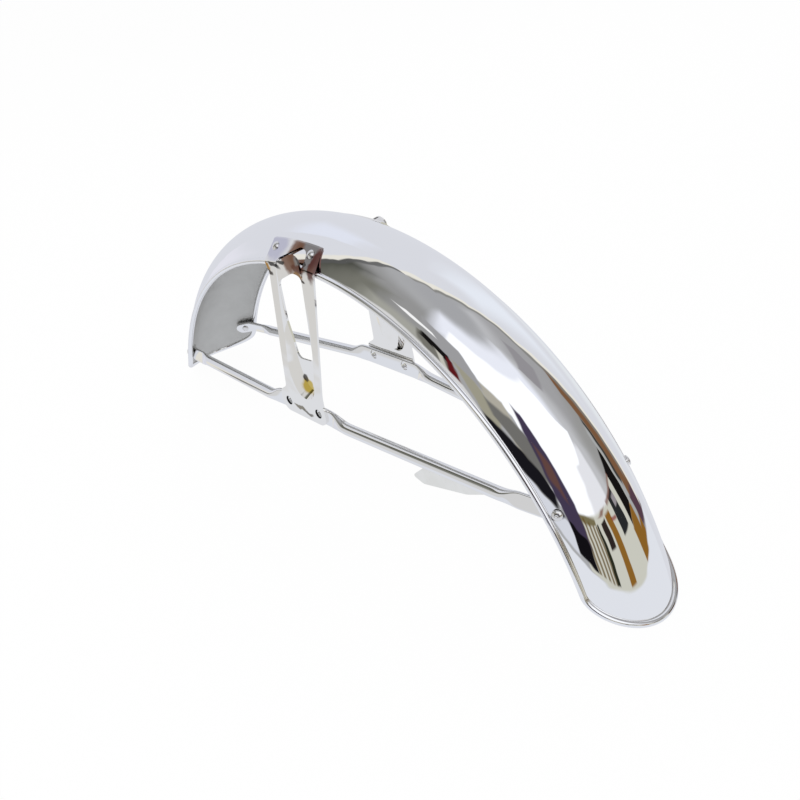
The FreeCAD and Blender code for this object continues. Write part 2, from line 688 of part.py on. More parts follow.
def stay_shape():
    """The left stay without its bolt holes, drawn round the axle."""
    bolt_rise = math.tan(math.radians(size("bolt_slope")))
    flat_y = size("foot_face") - size("flat_thickness") / 2
    half_flat = size("flat_length") / 2
    middle_x = size("bolt_middle_x")
    middle_z = size("bolt_middle_z")
    round_size = 2 * size("tube_radius")
    flat = (size("flat_height"), size("flat_thickness"))
    tab_size = (size("tab_width"), size("tab_thickness"))
    tab_level = section_radius - size("pad_seat") - size("tab_thickness") / 2
    outward = Vector(0, 1, 0)
    flat_points = []
    for direction in (-1, 1):
        z = middle_z - size("flat_drop") + direction * half_flat * bolt_rise
        flat_points.append(Vector(middle_x + direction * half_flat, flat_y, z))
    rear_tube = Vector(
        flat_points[0].x - size("taper_length"), flat_y,
        middle_z - size("rear_tube_drop") - (half_flat + size("taper_length")) * bolt_rise,
    )
    front_tube = Vector(
        flat_points[1].x + size("taper_length"), flat_y,
        middle_z - size("front_tube_drop") + (half_flat + size("taper_length")) * bolt_rise,
    )
    ends = {}
    for name, angle, tube_end in (
        ("rear", STAY_RIVETS["rear"], rear_tube),
        ("front", STAY_RIVETS["front"], front_tube),
    ):
        rivet = stay_frame(1, angle, tab_level).Base
        inward = (tube_end - rivet).normalize()
        normal, tab = tab_vectors(angle, inward)
        ends[name] = (rivet, normal, tab)

    def tab_run(name, target):
        """Sections from the rounded end of a tab to where the tube starts."""
        rivet, normal, tab = ends[name]
        bend = rivet + tab * size("tab_bend")
        onward = (target - bend).normalize()
        turned = (normal - onward * normal.dot(onward)).normalize()
        flat_end = bend + onward * size("tab_length")
        tube_start = flat_end + onward * size("taper_length")
        half = (tab + onward).normalize()
        half_normal = (normal - half * normal.dot(half)).normalize()
        return rivet, tab, normal, [
            (rivet, tab, normal, tab_size),
            (bend, half, half_normal, tab_size),
            (flat_end, onward, turned, tab_size),
            (tube_start, onward, outward, (round_size, round_size)),
        ]

    kink_run = size("front_kink_x") - front_tube.x
    front_end = ends["front"][0]
    share = kink_run / (front_end.x - front_tube.x)
    kink = Vector(
        size("front_kink_x"),
        front_tube.y + (front_end.y - front_tube.y) * share,
        front_tube.z + kink_run * math.tan(math.radians(size("front_tube_slope"))),
    )
    rear_rivet, rear_tab, rear_normal, rear = tab_run("rear", rear_tube)
    front_rivet, front_tab, front_normal, front = tab_run("front", kink)
    tube = (round_size, round_size)
    along_flat = Vector(1, 0, bolt_rise)
    rear_along = (rear_tube - rear[-1][0]).normalize()
    front_along = (kink - front_tube).normalize()
    stations = rear + [
        (rear_tube, rear_along, outward, tube),
        (flat_points[0], along_flat, outward, flat),
        (flat_points[1], along_flat, outward, flat),
        (front_tube, front_along, outward, tube),
    ]
    for centre, along, normal, spread in reversed(front):
        stations.append((centre, along * -1, normal, spread))
    wires = [stay_section(centre, along, normal, *spread)
             for centre, along, normal, spread in stations]
    shape = Part.makeLoft(wires, True, True)
    extra = []
    for rivet, tab, normal in (
        (rear_rivet, rear_tab, rear_normal), (front_rivet, front_tab, front_normal)
    ):
        across = normal.cross(tab)
        half = size("tab_width") / 2
        thick = size("tab_thickness")
        back = rivet - normal * (thick / 2)
        far = size("tab_reach") - half
        wire = Part.Wire([
            Part.LineSegment(back + across * half, back + across * half - tab * far).toShape(),
            Part.Arc(
                back + across * half - tab * far,
                back - tab * (far + half),
                back - across * half - tab * far,
            ).toShape(),
            Part.LineSegment(back - across * half - tab * far, back - across * half).toShape(),
            Part.LineSegment(back - across * half, back + across * half).toShape(),
        ])
        extra.append(Part.Face(wire).extrude(normal * thick))
    shape = shape.fuse(extra)
    for angle in STAY_RIVETS.values():
        shape = shape.cut(rivet_bore(stay_frame(1, angle, tab_level), 12))
    return shape, (front_tube, kink)


# Cable guide: a leaf of plate under the right tube

GUIDE_OUTLINE = [
    # ahead of the guide's tip, above the tube's middle line, corner radius
    (0.0, -17.3, 2.0), (11.6, -21.9, 5.0), (58.4, -13.2, 30.0), (75.0, -6.1, 30.0),
    (91.0, 2.5, 1.0), (20.0, 1.5, 1.0),
]


def guide_shape(tube_line):
    """The cable guide, drawn round the axle, cut to sit against the tube."""
    first, last = tube_line
    along = (last - first).normalize()
    level = Vector(along.x, along.y, 0).normalize()
    start = first + along * ((size("guide_start") - first.x) / along.x)
    side = Vector(-level.y, level.x, 0)
    stretch = size("guide_length") / 91.0
    deepen = size("guide_depth") / 20.0
    corners = []
    for ahead, above, radius in GUIDE_OUTLINE:
        rise = along.z / along.x * ahead * stretch
        point = start + level * (ahead * stretch)
        corners.append((Vector(point.x, point.y, start.z + rise + above * deepen), radius))
    leaf = Part.Face(rounded_wire(corners))
    leaf.translate(side * 0.2)
    leaf = leaf.extrude(side * size("guide_plate"))
    tube = Part.makeCylinder(
        size("tube_radius") + size("guide_gap"), 300, first - along * 20, along
    )
    return leaf.cut(tube)


# Rivets: a domed head outside, a shank, and a closed end inside

def add_rivet(label, placement, grip):
    """Body for one rivet whose head sits at a placement and whose closed end is a grip below."""
    body = doc.addObject("PartDesign::Body", label)
    body.Label = label
    sketch = new_sketch(body, label + "_section", "XZ_Plane")
    head = size("head_radius")
    rise = size("head_height")
    shank = size("shank_radius")
    tail = size("tail_radius")
    end = -grip - size("tail_height")
    edge = 0.5
    corners = [
        Vector(0, rise, 0), Vector(head, edge, 0), Vector(head, 0, 0), Vector(shank, 0, 0),
        Vector(shank, -grip, 0), Vector(tail, -grip, 0), Vector(tail, end, 0), Vector(0, end, 0),
    ]
    dome_centre = Vector(0, (rise ** 2 - edge ** 2 - head ** 2) / (2 * (rise - edge)), 0)
    dome = Part.Circle(dome_centre, Vector(0, 0, 1), rise - dome_centre.y)
    dome_start = math.atan2(edge - dome_centre.y, head)
    sketch.addGeometry(Part.ArcOfCircle(dome, dome_start, math.pi / 2))
    for first, last in zip(corners[1:], corners[2:] + corners[:1]):
        sketch.addGeometry(Part.LineSegment(first, last))
    rules = [("Coincident", 0, 1, 1, 1)]
    for index in range(1, 7):
        rules.append(("Coincident", index, 2, index + 1, 1))
    rules.append(("Coincident", 7, 2, 0, 2))
    rules += [("Vertical", index) for index in (1, 3, 5, 7)]
    rules += [("Horizontal", index) for index in (2, 4, 6)]
    rules.append(("PointOnObject", 7, 2, -2))
    rules.append(("PointOnObject", 0, 3, -2))
    rules.append(("PointOnObject", 2, 1, -1))
    for rule in rules:
        sketch.addConstraint(Sketcher.Constraint(*rule))
    add_size(sketch, ("DistanceX", -1, 1, 2, 1, head), "head", "sizes.head_radius")
    add_size(sketch, ("DistanceX", -1, 1, 3, 1, shank), "shank", "sizes.shank_radius")
    add_size(sketch, ("DistanceX", -1, 1, 5, 1, tail), "tail", "sizes.tail_radius")
    add_size(sketch, ("DistanceY", 3, 2, 3, 1, grip), "grip", None)
    add_size(sketch, ("DistanceY", 5, 2, 5, 1, size("tail_height")), "end", "sizes.tail_height")
    add_size(sketch, ("DistanceY", -1, 1, 7, 2, rise), "rise", "sizes.head_height")
    turn = body.newObject("PartDesign::Revolution", label + "_turn")
    turn.Profile = sketch
    turn.ReferenceAxis = (sketch, ["V_Axis"])
    turn.Angle = 360
    body.Placement = FreeCAD.Placement(Vector(0, 0, -axle_drop), FreeCAD.Rotation()) * placement
    doc.recompute()
    return body


# Assembly: every piece in its place, right side and left side

def other_side(shape):
    """Mirror image across the middle plane."""
    return shape.mirror(Vector(0, 0, 0), Vector(0, 1, 0))


def drilled(label, blank):
    """Cuts both fork bolt holes through a blank and labels the result."""
    base = feature(label + "_blank", blank)
    bolts = []
    for name, sign in (("front", "+"), ("rear", "-")):
        bolt = doc.addObject("Part::Cylinder", label + "_" + name + "_bolt")
        bolt.setExpression("Radius", "sizes.bolt_hole_radius")
        bolt.Height = 200
        bolt.Placement = FreeCAD.Placement(
            Vector(0, -100, 0), FreeCAD.Rotation(Vector(1, 0, 0), -90)
        )
        reach = sign + " sizes.bolt_pitch / 2"
        bolt.setExpression(
            "Placement.Base.x", "sizes.bolt_middle_x " + reach + " * cos(sizes.bolt_slope)"
        )
        bolt.setExpression(
            "Placement.Base.z",
            "sizes.bolt_middle_z " + reach + " * sin(sizes.bolt_slope) - " + AXLE_DROP,
        )
        bolts.append(bolt)
    pair = doc.addObject("Part::MultiFuse", label + "_bolts")
    pair.Shapes = bolts
    cut = doc.addObject("Part::Cut", label)
    cut.Label = label
    cut.Base = base
    cut.Tool = pair
    return cut


pieces = {"mudguard_blade": feature("mudguard_blade", blade_shape())}
left_bracket = bracket_shape()
left_stay, left_tube = stay_shape()
for side_name, side in SIDES.items():
    bracket = left_bracket if side > 0 else other_side(left_bracket)
    stay = left_stay if side > 0 else other_side(left_stay)
    pieces[side_name + "_fork_bracket"] = drilled(side_name + "_fork_bracket", bracket)
    pieces[side_name + "_stay"] = drilled(side_name + "_stay", stay)
    for place, angle in BRACKET_RIVETS.items():
        label = "%s_%s_bracket_rivet" % (side_name, place)
        grip = plate_outside - section_radius + size("sheet") + 0.6
        pieces[label] = add_rivet(label, bracket_frame(side, angle, plate_outside), grip)
    for place, angle in STAY_RIVETS.items():
        label = "%s_%s_stay_rivet" % (side_name, place)
        grip = size("pad_raise") + size("pad_seat") + size("tab_thickness")
        height = section_radius + size("pad_raise")
        pieces[label] = add_rivet(label, stay_frame(side, angle, height), grip)
pieces["cable_guide"] = feature("cable_guide", other_side(guide_shape(left_tube)))

doc.recompute()
os.makedirs("parts", exist_ok=True)
for item in doc.Objects:
    if "Invalid" in item.State or "Error" in item.State:
        raise RuntimeError("%s did not build: %s" % (item.Label, item.State))
for name, piece in pieces.items():
    shape = piece.Shape
    if shape.isNull() or not shape.isValid() or len(shape.Solids) != 1:
        raise RuntimeError("%s is not one valid solid" % name)
    shape.exportStep("parts/%s.step" % name)
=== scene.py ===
"""Chromed front mudguard of a motorcycle: blade, rolled bead, brackets, stays and rivets."""

import logging
import math
from dataclasses import dataclass, field
from enum import Enum
from typing import Optional, Sequence

import bmesh
import bpy
from mathutils import Matrix, Vector


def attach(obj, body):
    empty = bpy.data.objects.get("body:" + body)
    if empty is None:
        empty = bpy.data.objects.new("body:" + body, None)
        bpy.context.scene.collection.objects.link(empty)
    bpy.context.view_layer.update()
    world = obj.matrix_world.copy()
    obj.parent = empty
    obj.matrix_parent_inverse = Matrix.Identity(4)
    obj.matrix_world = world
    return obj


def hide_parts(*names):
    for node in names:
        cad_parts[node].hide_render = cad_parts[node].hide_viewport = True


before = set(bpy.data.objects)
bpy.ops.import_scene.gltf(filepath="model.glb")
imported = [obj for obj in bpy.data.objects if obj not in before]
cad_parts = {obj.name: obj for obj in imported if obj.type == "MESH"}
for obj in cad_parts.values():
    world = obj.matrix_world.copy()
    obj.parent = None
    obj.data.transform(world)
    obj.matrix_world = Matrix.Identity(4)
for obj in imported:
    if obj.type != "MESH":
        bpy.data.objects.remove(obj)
LOG = logging.getLogger("mudguard")
MM = 0.001
Colour = tuple[float, float, float]
Corners = Sequence[tuple[float, float]]


class Side(Enum):
    """Rider's side of the guard, as the sign of Y."""

    RIGHT = -1
    LEFT = 1


def linear(red: float, green: float, blue: float) -> Colour:
    """Linear colour of a shade on the usual scale.

    Args:
        red: red part from 0 to 255.
        green: green part from 0 to 255.
        blue: blue part from 0 to 255.

    Returns:
        The three parts as shares of full light.
    """
    shades = []
    for part in (red, green, blue):
        share = part / 255
        shades.append(share / 12.92 if share <= 0.04045 else ((share + 0.055) / 1.055) ** 2.4)
    return tuple(shades)


def smooth_step(share: float) -> float:
    """Eased value of a share that is held between 0 and 1."""
    held = min(max(share, 0.0), 1.0)
    return held * held * (3 - 2 * held)


@dataclass(frozen=True)
class GuardSizes:
    """Driving sizes of the guard in millimetres, measured from the wheel's axle.

    An end is given by the radius of its outline and the radius of its two corners.
    """

    rim_radius: float = 302.0
    crown_rise: float = 27.9
    section_radius: float = 48.3
    sheet: float = 1.0
    bead_radius: float = 2.7
    end_angle: float = math.radians(73.3)
    end_back: float = math.radians(8.0)
    tip: tuple[float, float] = (46.0, 38.0)
    tail: tuple[float, float] = (130.0, 38.0)
    stay_rivet_radius: float = 309.0
    front_rivet: float = math.radians(54.5)
    rear_rivet: float = math.radians(-65.5)
    pad_raise: float = 1.3
    tab_seat: float = 3.5
    tab: tuple[float, float] = (14.0, 3.6)

    @property
    def crown_radius(self) -> float:
        """Axle to the outside of the crown."""
        return self.rim_radius + self.crown_rise

    @property
    def section_centre(self) -> float:
        """Axle to the centre of the domed section."""
        return self.crown_radius - self.section_radius

    @property
    def half_width(self) -> float:
        """Middle plane to the centre line of the bead."""
        level = self.rim_radius - self.section_centre
        return math.sqrt(self.section_radius ** 2 - level ** 2)

    @property
    def axle_height(self) -> float:
        """Surface that the guard stands on to the axle, negative because the axle is below."""
        return self.bead_radius - self.crown_radius * math.cos(self.end_angle)

    @property
    def stay_tilt(self) -> float:
        """Angle by which the section's normal leans up at the stay rivets."""
        return math.asin((self.stay_rivet_radius - self.section_centre) / self.section_radius)

    def radius_at(self, across: float) -> float:
        """Axle to the outside of the sheet at a distance from the middle plane."""
        return self.section_centre + math.sqrt(max(self.section_radius ** 2 - across ** 2, 0))

    def place(self, radius: float, angle: float, across: float) -> Vector:
        """Point in metres in the part's frame, by radius, angle forward and sideways place."""
        height = radius * math.cos(angle) + self.axle_height
        return Vector((radius * math.sin(angle), across, height)) * MM

    def row(self, point: Vector) -> Vector:
        """Point in metres in the part's frame from a point in millimetres round the axle."""
        return Vector((point.x, point.y, point.z + self.axle_height)) * MM

    def corner(self, end: tuple[float, float]) -> tuple[float, float, float, float]:
        """Works out the corner arc of an end.

        Args:
            end: radius of the end's outline and of its corners.

        Returns:
            How far the end reaches forward, how far the corner's centre lies to the side and
            forward, and the angle at which the corner meets the outline.
        """
        end_radius, corner_radius = end
        reach = self.crown_radius * math.sin(self.end_back)
        inset = self.half_width - corner_radius
        run = math.sqrt((end_radius - corner_radius) ** 2 - inset ** 2)
        centre = reach - end_radius + run
        return reach, inset, centre, math.atan2(inset, run)

    def end_at(self, end: tuple[float, float], across: float) -> float:
        """Finds where the sheet ends.

        Args:
            end: radius of the end's outline and of its corners.
            across: distance from the middle plane.

        Returns:
            The angle from the top.
        """
        end_radius, corner_radius = end
        reach, inset, centre, joint = self.corner(end)
        beside = min(abs(across), self.half_width)
        if beside <= end_radius * math.sin(joint):
            along = reach - end_radius + math.sqrt(end_radius ** 2 - beside ** 2)
        else:
            along = centre + math.sqrt(max(corner_radius ** 2 - (beside - inset) ** 2, 0))
        return self.end_angle - self.end_back + math.asin(along / self.radius_at(beside))

    def stay_axes(self, side: int, angle: float, height: float) -> Matrix:
        """Frame at a stay rivet, with X along the rim and Z along the sheet's normal.

        Args:
            side: sign of Y.
            angle: the rivet's angle forward from the top.
            height: distance from the centre of the domed section.

        Returns:
            The frame in millimetres round the axle.
        """
        radial = Vector((math.sin(angle), 0, math.cos(angle)))
        along = Vector((math.cos(angle), 0, -math.sin(angle)))
        normal = Vector((0, side, 0)) * math.cos(self.stay_tilt) + radial * math.sin(self.stay_tilt)
        across = normal.cross(along)
        base = radial * self.section_centre + normal * height
        matrix = Matrix((along, across, normal)).transposed().to_4x4()
        matrix.translation = base
        return matrix


SIZES = GuardSizes()


# Finishes


@dataclass(frozen=True)
class PaintedLightMark:
    """A patch of painted light on the right side of the guard, in millimetres round the axle.

    Most are painted reflections and the darkest are painted shade. Its outline is soft and uneven,
    or sharp and even round a hole.
    """

    place: tuple[float, float, float]
    reach: tuple[float, float, float]
    colour: Colour
    share: float = 1.0
    even: bool = False

    @property
    def fade(self) -> tuple[float, float]:
        """Where the mark starts and where it is full, as shares of its reach."""
        return (1.06, 0.96) if self.even else (1.25, 0.75)


@dataclass(frozen=True)
class Finish:
    """A metal finish with slow changes of gloss, and waves, grain or painted reflections and
    painted shade where it has them.
    """

    name: str
    colour: Colour
    roughness: float
    gloss_spread: float = 0.02
    grain_scale: float = 900.0
    grain_depth: float = 0.0
    cloud_scale: float = 40.0
    second_colour: Optional[Colour] = None
    metallic: float = 1.0
    wave: float = 0.0
    wave_scale: float = 45.0
    ripple_scale: float = 130.0
    ripple_reach: float = 0.0035
    painted_light_marks: tuple[PaintedLightMark, ...] = ()

    def build(self) -> bpy.types.Material:
        """Makes the material.

        Returns:
            The material with its procedural nodes.
        """
        material = bpy.data.materials.new(self.name)
        material.use_nodes = True
        tree = material.node_tree
        shader = tree.nodes["Principled BSDF"]
        shader.inputs["Metallic"].default_value = self.metallic
        shader.inputs["Base Color"].default_value = (*self.colour, 1)
        place = tree.nodes.new("ShaderNodeTexCoord").outputs["Object"]
        cloud = self.noise(tree, place, self.cloud_scale, 5.0).outputs["Fac"]
        gloss = tree.nodes.new("ShaderNodeMapRange")
        gloss.inputs["To Min"].default_value = max(self.roughness - self.gloss_spread, 0.0)
        gloss.inputs["To Max"].default_value = self.roughness + self.gloss_spread
        tree.links.new(cloud, gloss.inputs["Value"])
        tree.links.new(gloss.outputs["Result"], shader.inputs["Roughness"])
        if self.second_colour:
            mix = tree.nodes.new("ShaderNodeMix")
            mix.data_type = "RGBA"
            mix.inputs["A"].default_value = (*self.colour, 1)
            mix.inputs["B"].default_value = (*self.second_colour, 1)
            tree.links.new(cloud, mix.inputs["Factor"])
            tree.links.new(mix.outputs["Result"], shader.inputs["Base Color"])
        # Painted reflections and painted shade go over the base colour here.
        if self.painted_light_marks:
            tree.links.new(self.with_painted_light(tree, place), shader.inputs["Base Color"])
        for depth, scale, detail in (
            (self.wave, self.wave_scale, 1.0), (self.grain_depth, self.grain_scale, 4.0)
        ):
            if depth > 0:
                bump = tree.nodes.new("ShaderNodeBump")
                bump.inputs["Distance"].default_value = depth
                relief = self.noise(tree, place, scale, detail).outputs["Fac"]
                tree.links.new(relief, bump.inputs["Height"])
                tree.links.new(bump.outputs["Normal"], shader.inputs["Normal"])
        return material

    def noise(
        self, tree: bpy.types.NodeTree, place: bpy.types.NodeSocket, scale: float, detail: float
    ) -> bpy.types.Node:
        """Adds a noise pattern.

        Args:
            tree: node tree of the material.
            place: coordinates of the object.
            scale: how often the pattern repeats in a metre.
            detail: how many finer patterns lie over it.

        Returns:
            The pattern's node.
        """
        pattern = tree.nodes.new("ShaderNodeTexNoise")
        pattern.inputs["Scale"].default_value = scale
        pattern.inputs["Detail"].default_value = detail
        tree.links.new(place, pattern.inputs["Vector"])
        return pattern

    def with_painted_light(
        self, tree: bpy.types.NodeTree, place: bpy.types.NodeSocket
    ) -> bpy.types.NodeSocket:
        """Lays the painted reflections and painted shade over the finish's colour.

        Args:
            tree: node tree of the material.
            place: coordinates of the object.

        Returns:
            The stained colour.
        """
        nodes, links = tree.nodes, tree.links
        ripple = self.noise(tree, place, self.ripple_scale, 3.0)
        push = nodes.new("ShaderNodeVectorMath")
        push.operation = "MULTIPLY_ADD"
        push.inputs[1].default_value = [2 * self.ripple_reach] * 3
        push.inputs[2].default_value = [-self.ripple_reach] * 3
        links.new(ripple.outputs["Color"], push.inputs[0])
        turned = nodes.new("ShaderNodeVectorMath")
        turned.operation = "MULTIPLY"
        turned.inputs[1].default_value = (1, Side.RIGHT.value, 1)
        links.new(place, turned.inputs[0])
        shift = nodes.new("ShaderNodeVectorMath")
        links.new(turned.outputs[0], shift.inputs[0])
        links.new(push.outputs[0], shift.inputs[1])
        start = nodes.new("ShaderNodeRGB")
        start.outputs[0].default_value = (*self.colour, 1)
        colour = start.outputs[0]
        for painted_mark in self.painted_light_marks:
            spot = SIZES.row(Vector(painted_mark.place))
            scaled = nodes.new("ShaderNodeVectorMath")
            scaled.operation = "MULTIPLY_ADD"
            scaled.inputs[1].default_value = [1 / (reach * MM) for reach in painted_mark.reach]
            scaled.inputs[2].default_value = [
                -part / (reach * MM) for part, reach in zip(spot, painted_mark.reach)
            ]
            links.new((turned if painted_mark.even else shift).outputs[0], scaled.inputs[0])
            length = nodes.new("ShaderNodeVectorMath")
            length.operation = "LENGTH"
            links.new(scaled.outputs[0], length.inputs[0])
            ramp = nodes.new("ShaderNodeMapRange")
            ramp.interpolation_type = "SMOOTHSTEP"
            first, full = painted_mark.fade
            ramp.inputs["From Min"].default_value = first
            ramp.inputs["From Max"].default_value = full
            ramp.inputs["To Max"].default_value = painted_mark.share
            links.new(length.outputs["Value"], ramp.inputs["Value"])
            mix = nodes.new("ShaderNodeMix")
            mix.data_type = "RGBA"
            mix.inputs["B"].default_value = (*linear(*painted_mark.colour), 1)
            links.new(ramp.outputs["Result"], mix.inputs["Factor"])
            links.new(colour, mix.inputs["A"])
            colour = mix.outputs["Result"]
        return colour


BLADE_CHROME = Finish("blade_chrome", (0.955, 0.955, 0.96), 0.018, 0.012, wave=0.0002)
BEAD_CHROME = Finish("bead_chrome", (0.93, 0.93, 0.94), 0.09, 0.03)
SATIN_INSIDE = Finish(
    "satin_inside", (0.47, 0.465, 0.44), 0.42, 0.10, 1400.0, 0.00012, 60.0, (0.63, 0.625, 0.60)
)
# Chrome of the fork brackets, with painted reflections and painted shade in its colour.
BRACKET_CHROME = Finish(
    "bracket_chrome", (0.92, 0.905, 0.875), 0.06, 0.03, wave=0.0006, painted_light_marks=(
        # Painted reflections on the top plate: grey, bluish white, brown and dark red-brown
        # patches.
        PaintedLightMark((-3, 45, 315), (16, 24, 14), (112, 106, 102), 0.85),
        PaintedLightMark((-48, 45, 314), (17, 24, 12), (206, 205, 220), 0.9),
        PaintedLightMark((-18, 47, 312), (10, 20, 16), (122, 78, 48), 0.9),
        PaintedLightMark((10, 47, 311), (5, 20, 16), (92, 40, 30), 0.9),
        PaintedLightMark((-6, 49, 303), (9, 9, 4), (104, 58, 36), 0.9),
        # Thin near-black lines are painted shade along the gap at the top plate and beside the
        # bends; the gold patches at the bends are painted reflections.
        PaintedLightMark((-42, 51, 299), (9, 8, 2.2), (24, 20, 18), 0.9),
        PaintedLightMark((-30, 51, 304), (7, 8, 2.0), (30, 24, 20), 0.9),
        PaintedLightMark((-54, 49, 294), (6, 12, 4.0), (186, 136, 40), 0.95),
        PaintedLightMark((-50, 51, 290), (5, 8, 2.0), (44, 30, 18), 0.9),
        PaintedLightMark((-8, 50, 297), (6, 10, 3), (150, 104, 36), 0.9),
        PaintedLightMark((-4, 50, 293.5), (5, 10, 1.8), (40, 26, 18), 0.9),
        PaintedLightMark((-24, 50, 186), (7, 9, 7), (206, 176, 34), 0.9),
        PaintedLightMark((-27, 50, 192), (4, 9, 3), (40, 30, 16), 0.9),
        # Olive painted reflections on the foot.
        PaintedLightMark((-36, 54, 160), (9, 9, 2.2), (96, 84, 44), 0.8),
        PaintedLightMark((-24, 54, 158), (8, 9, 1.8), (70, 62, 36), 0.8),
        # Even dark discs of painted shade in the two bolt holes.
        PaintedLightMark((-7.66, 54, 164.08), (4.5, 12, 4.5), (20, 18, 18), 1.0, True),
        PaintedLightMark((-53.54, 54, 160.72), (4.5, 12, 4.5), (20, 18, 18), 1.0, True),
    ),
)
STAY_CHROME = Finish("stay_chrome", (0.90, 0.90, 0.905), 0.05, 0.03)
GUIDE_CHROME = Finish(
    "guide_chrome", (1.0, 0.99, 0.95), 0.12, 0.05, cloud_scale=55.0,
    second_colour=(0.80, 0.78, 0.71), wave=0.0022,
)
RIVET_STEEL = Finish("rivet_steel", (0.80, 0.79, 0.78), 0.16, 0.05)


# Room that the chrome reflects


class Panorama:
    """Flat shapes on the sphere of directions, painted over each other by azimuth and elevation."""

    def __init__(self, tree: bpy.types.NodeTree, base: Colour) -> None:
        """Starts the picture with one plain colour.

        Args:
            tree: node tree of the world.
            base: colour of every direction that no shape covers.
        """
        self.nodes = tree.nodes
        self.links = tree.links
        place = self.nodes.new("ShaderNodeTexCoord")
        split = self.nodes.new("ShaderNodeSeparateXYZ")
        self.links.new(place.outputs["Generated"], split.inputs[0])
        azimuth = self.math("ARCTAN2", split.outputs["Y"], split.outputs["X"])
        elevation = self.math("ARCSINE", split.outputs["Z"])
        joined = self.nodes.new("ShaderNodeCombineXYZ")
        self.links.new(self.math("DEGREES", azimuth), joined.inputs["X"])
        self.links.new(self.math("DEGREES", elevation), joined.inputs["Y"])
        joined.inputs["Z"].default_value = 1.0
        self.direction = joined.outputs[0]
        start = self.nodes.new("ShaderNodeRGB")
        start.outputs[0].default_value = (*base, 1)
        self.colour = start.outputs[0]

    def math(self, operation: str, *inputs: object) -> bpy.types.NodeSocket:
        """Adds one arithmetic node.

        Args:
            operation: name of the operation.
            inputs: sockets or numbers that go in.

        Returns:
            The node's value.
        """
        node = self.nodes.new("ShaderNodeMath")
        node.operation = operation
        for index, item in enumerate(inputs):
            if isinstance(item, (int, float)):
                node.inputs[index].default_value = item
            else:
                self.links.new(item, node.inputs[index])
        return node.outputs[0]

    def inside(self, corners: Corners, soft: float) -> bpy.types.NodeSocket:
        """Share, from 0 to 1, by which a direction lies in a convex shape.

        Args:
            corners: azimuth and elevation of each corner in degrees, in order round the shape.
            soft: width of the faded edge in degrees.

        Returns:
            The share.
        """
        area = sum(
            first[0] * second[1] - second[0] * first[1]
            for first, second in zip(corners, [*corners[1:], corners[0]])
        )
        turn = 1 if area > 0 else -1
        nearest = None
        for first, second in zip(corners, [*corners[1:], corners[0]]):
            run = Vector((second[0] - first[0], second[1] - first[1]))
            normal = Vector((-run.y, run.x)).normalized() * turn
            edge = self.nodes.new("ShaderNodeVectorMath")
            edge.operation = "DOT_PRODUCT"
            edge.inputs[1].default_value = (normal.x, normal.y, -normal.dot(Vector(first)))
            self.links.new(self.direction, edge.inputs[0])
            depth = edge.outputs["Value"]
            nearest = self.math("MINIMUM", nearest, depth) if nearest else depth
        ramp = self.nodes.new("ShaderNodeMapRange")
        ramp.interpolation_type = "SMOOTHSTEP"
        ramp.inputs["From Min"].default_value = -soft / 2
        ramp.inputs["From Max"].default_value = soft / 2
        self.links.new(nearest, ramp.inputs["Value"])
        return ramp.outputs["Result"]

    def paint(self, corners: Corners, shade: Colour, soft: float = 1.0, share: float = 1.0) -> None:
        """Paints a convex shape over what is there.

        Args:
            corners: azimuth and elevation of each corner in degrees.
            shade: colour of the shape on the scale from 0 to 255.
            soft: width of the faded edge in degrees.
            share: how much of the shape's colour shows.
        """
        mask = self.inside(corners, soft)
        if share < 1:
            mask = self.math("MULTIPLY", mask, share)
        mix = self.nodes.new("ShaderNodeMix")
        mix.data_type = "RGBA"
        mix.inputs["B"].default_value = (*linear(*shade), 1)
        self.links.new(mask, mix.inputs["Factor"])
        self.links.new(self.colour, mix.inputs["A"])
        self.colour = mix.outputs["Result"]


def block(west: float, east: float, low: float, high: float) -> Corners:
    """Corners of an upright block between two azimuths and two elevations."""
    return [(west, low), (east, low), (east, high), (west, high)]


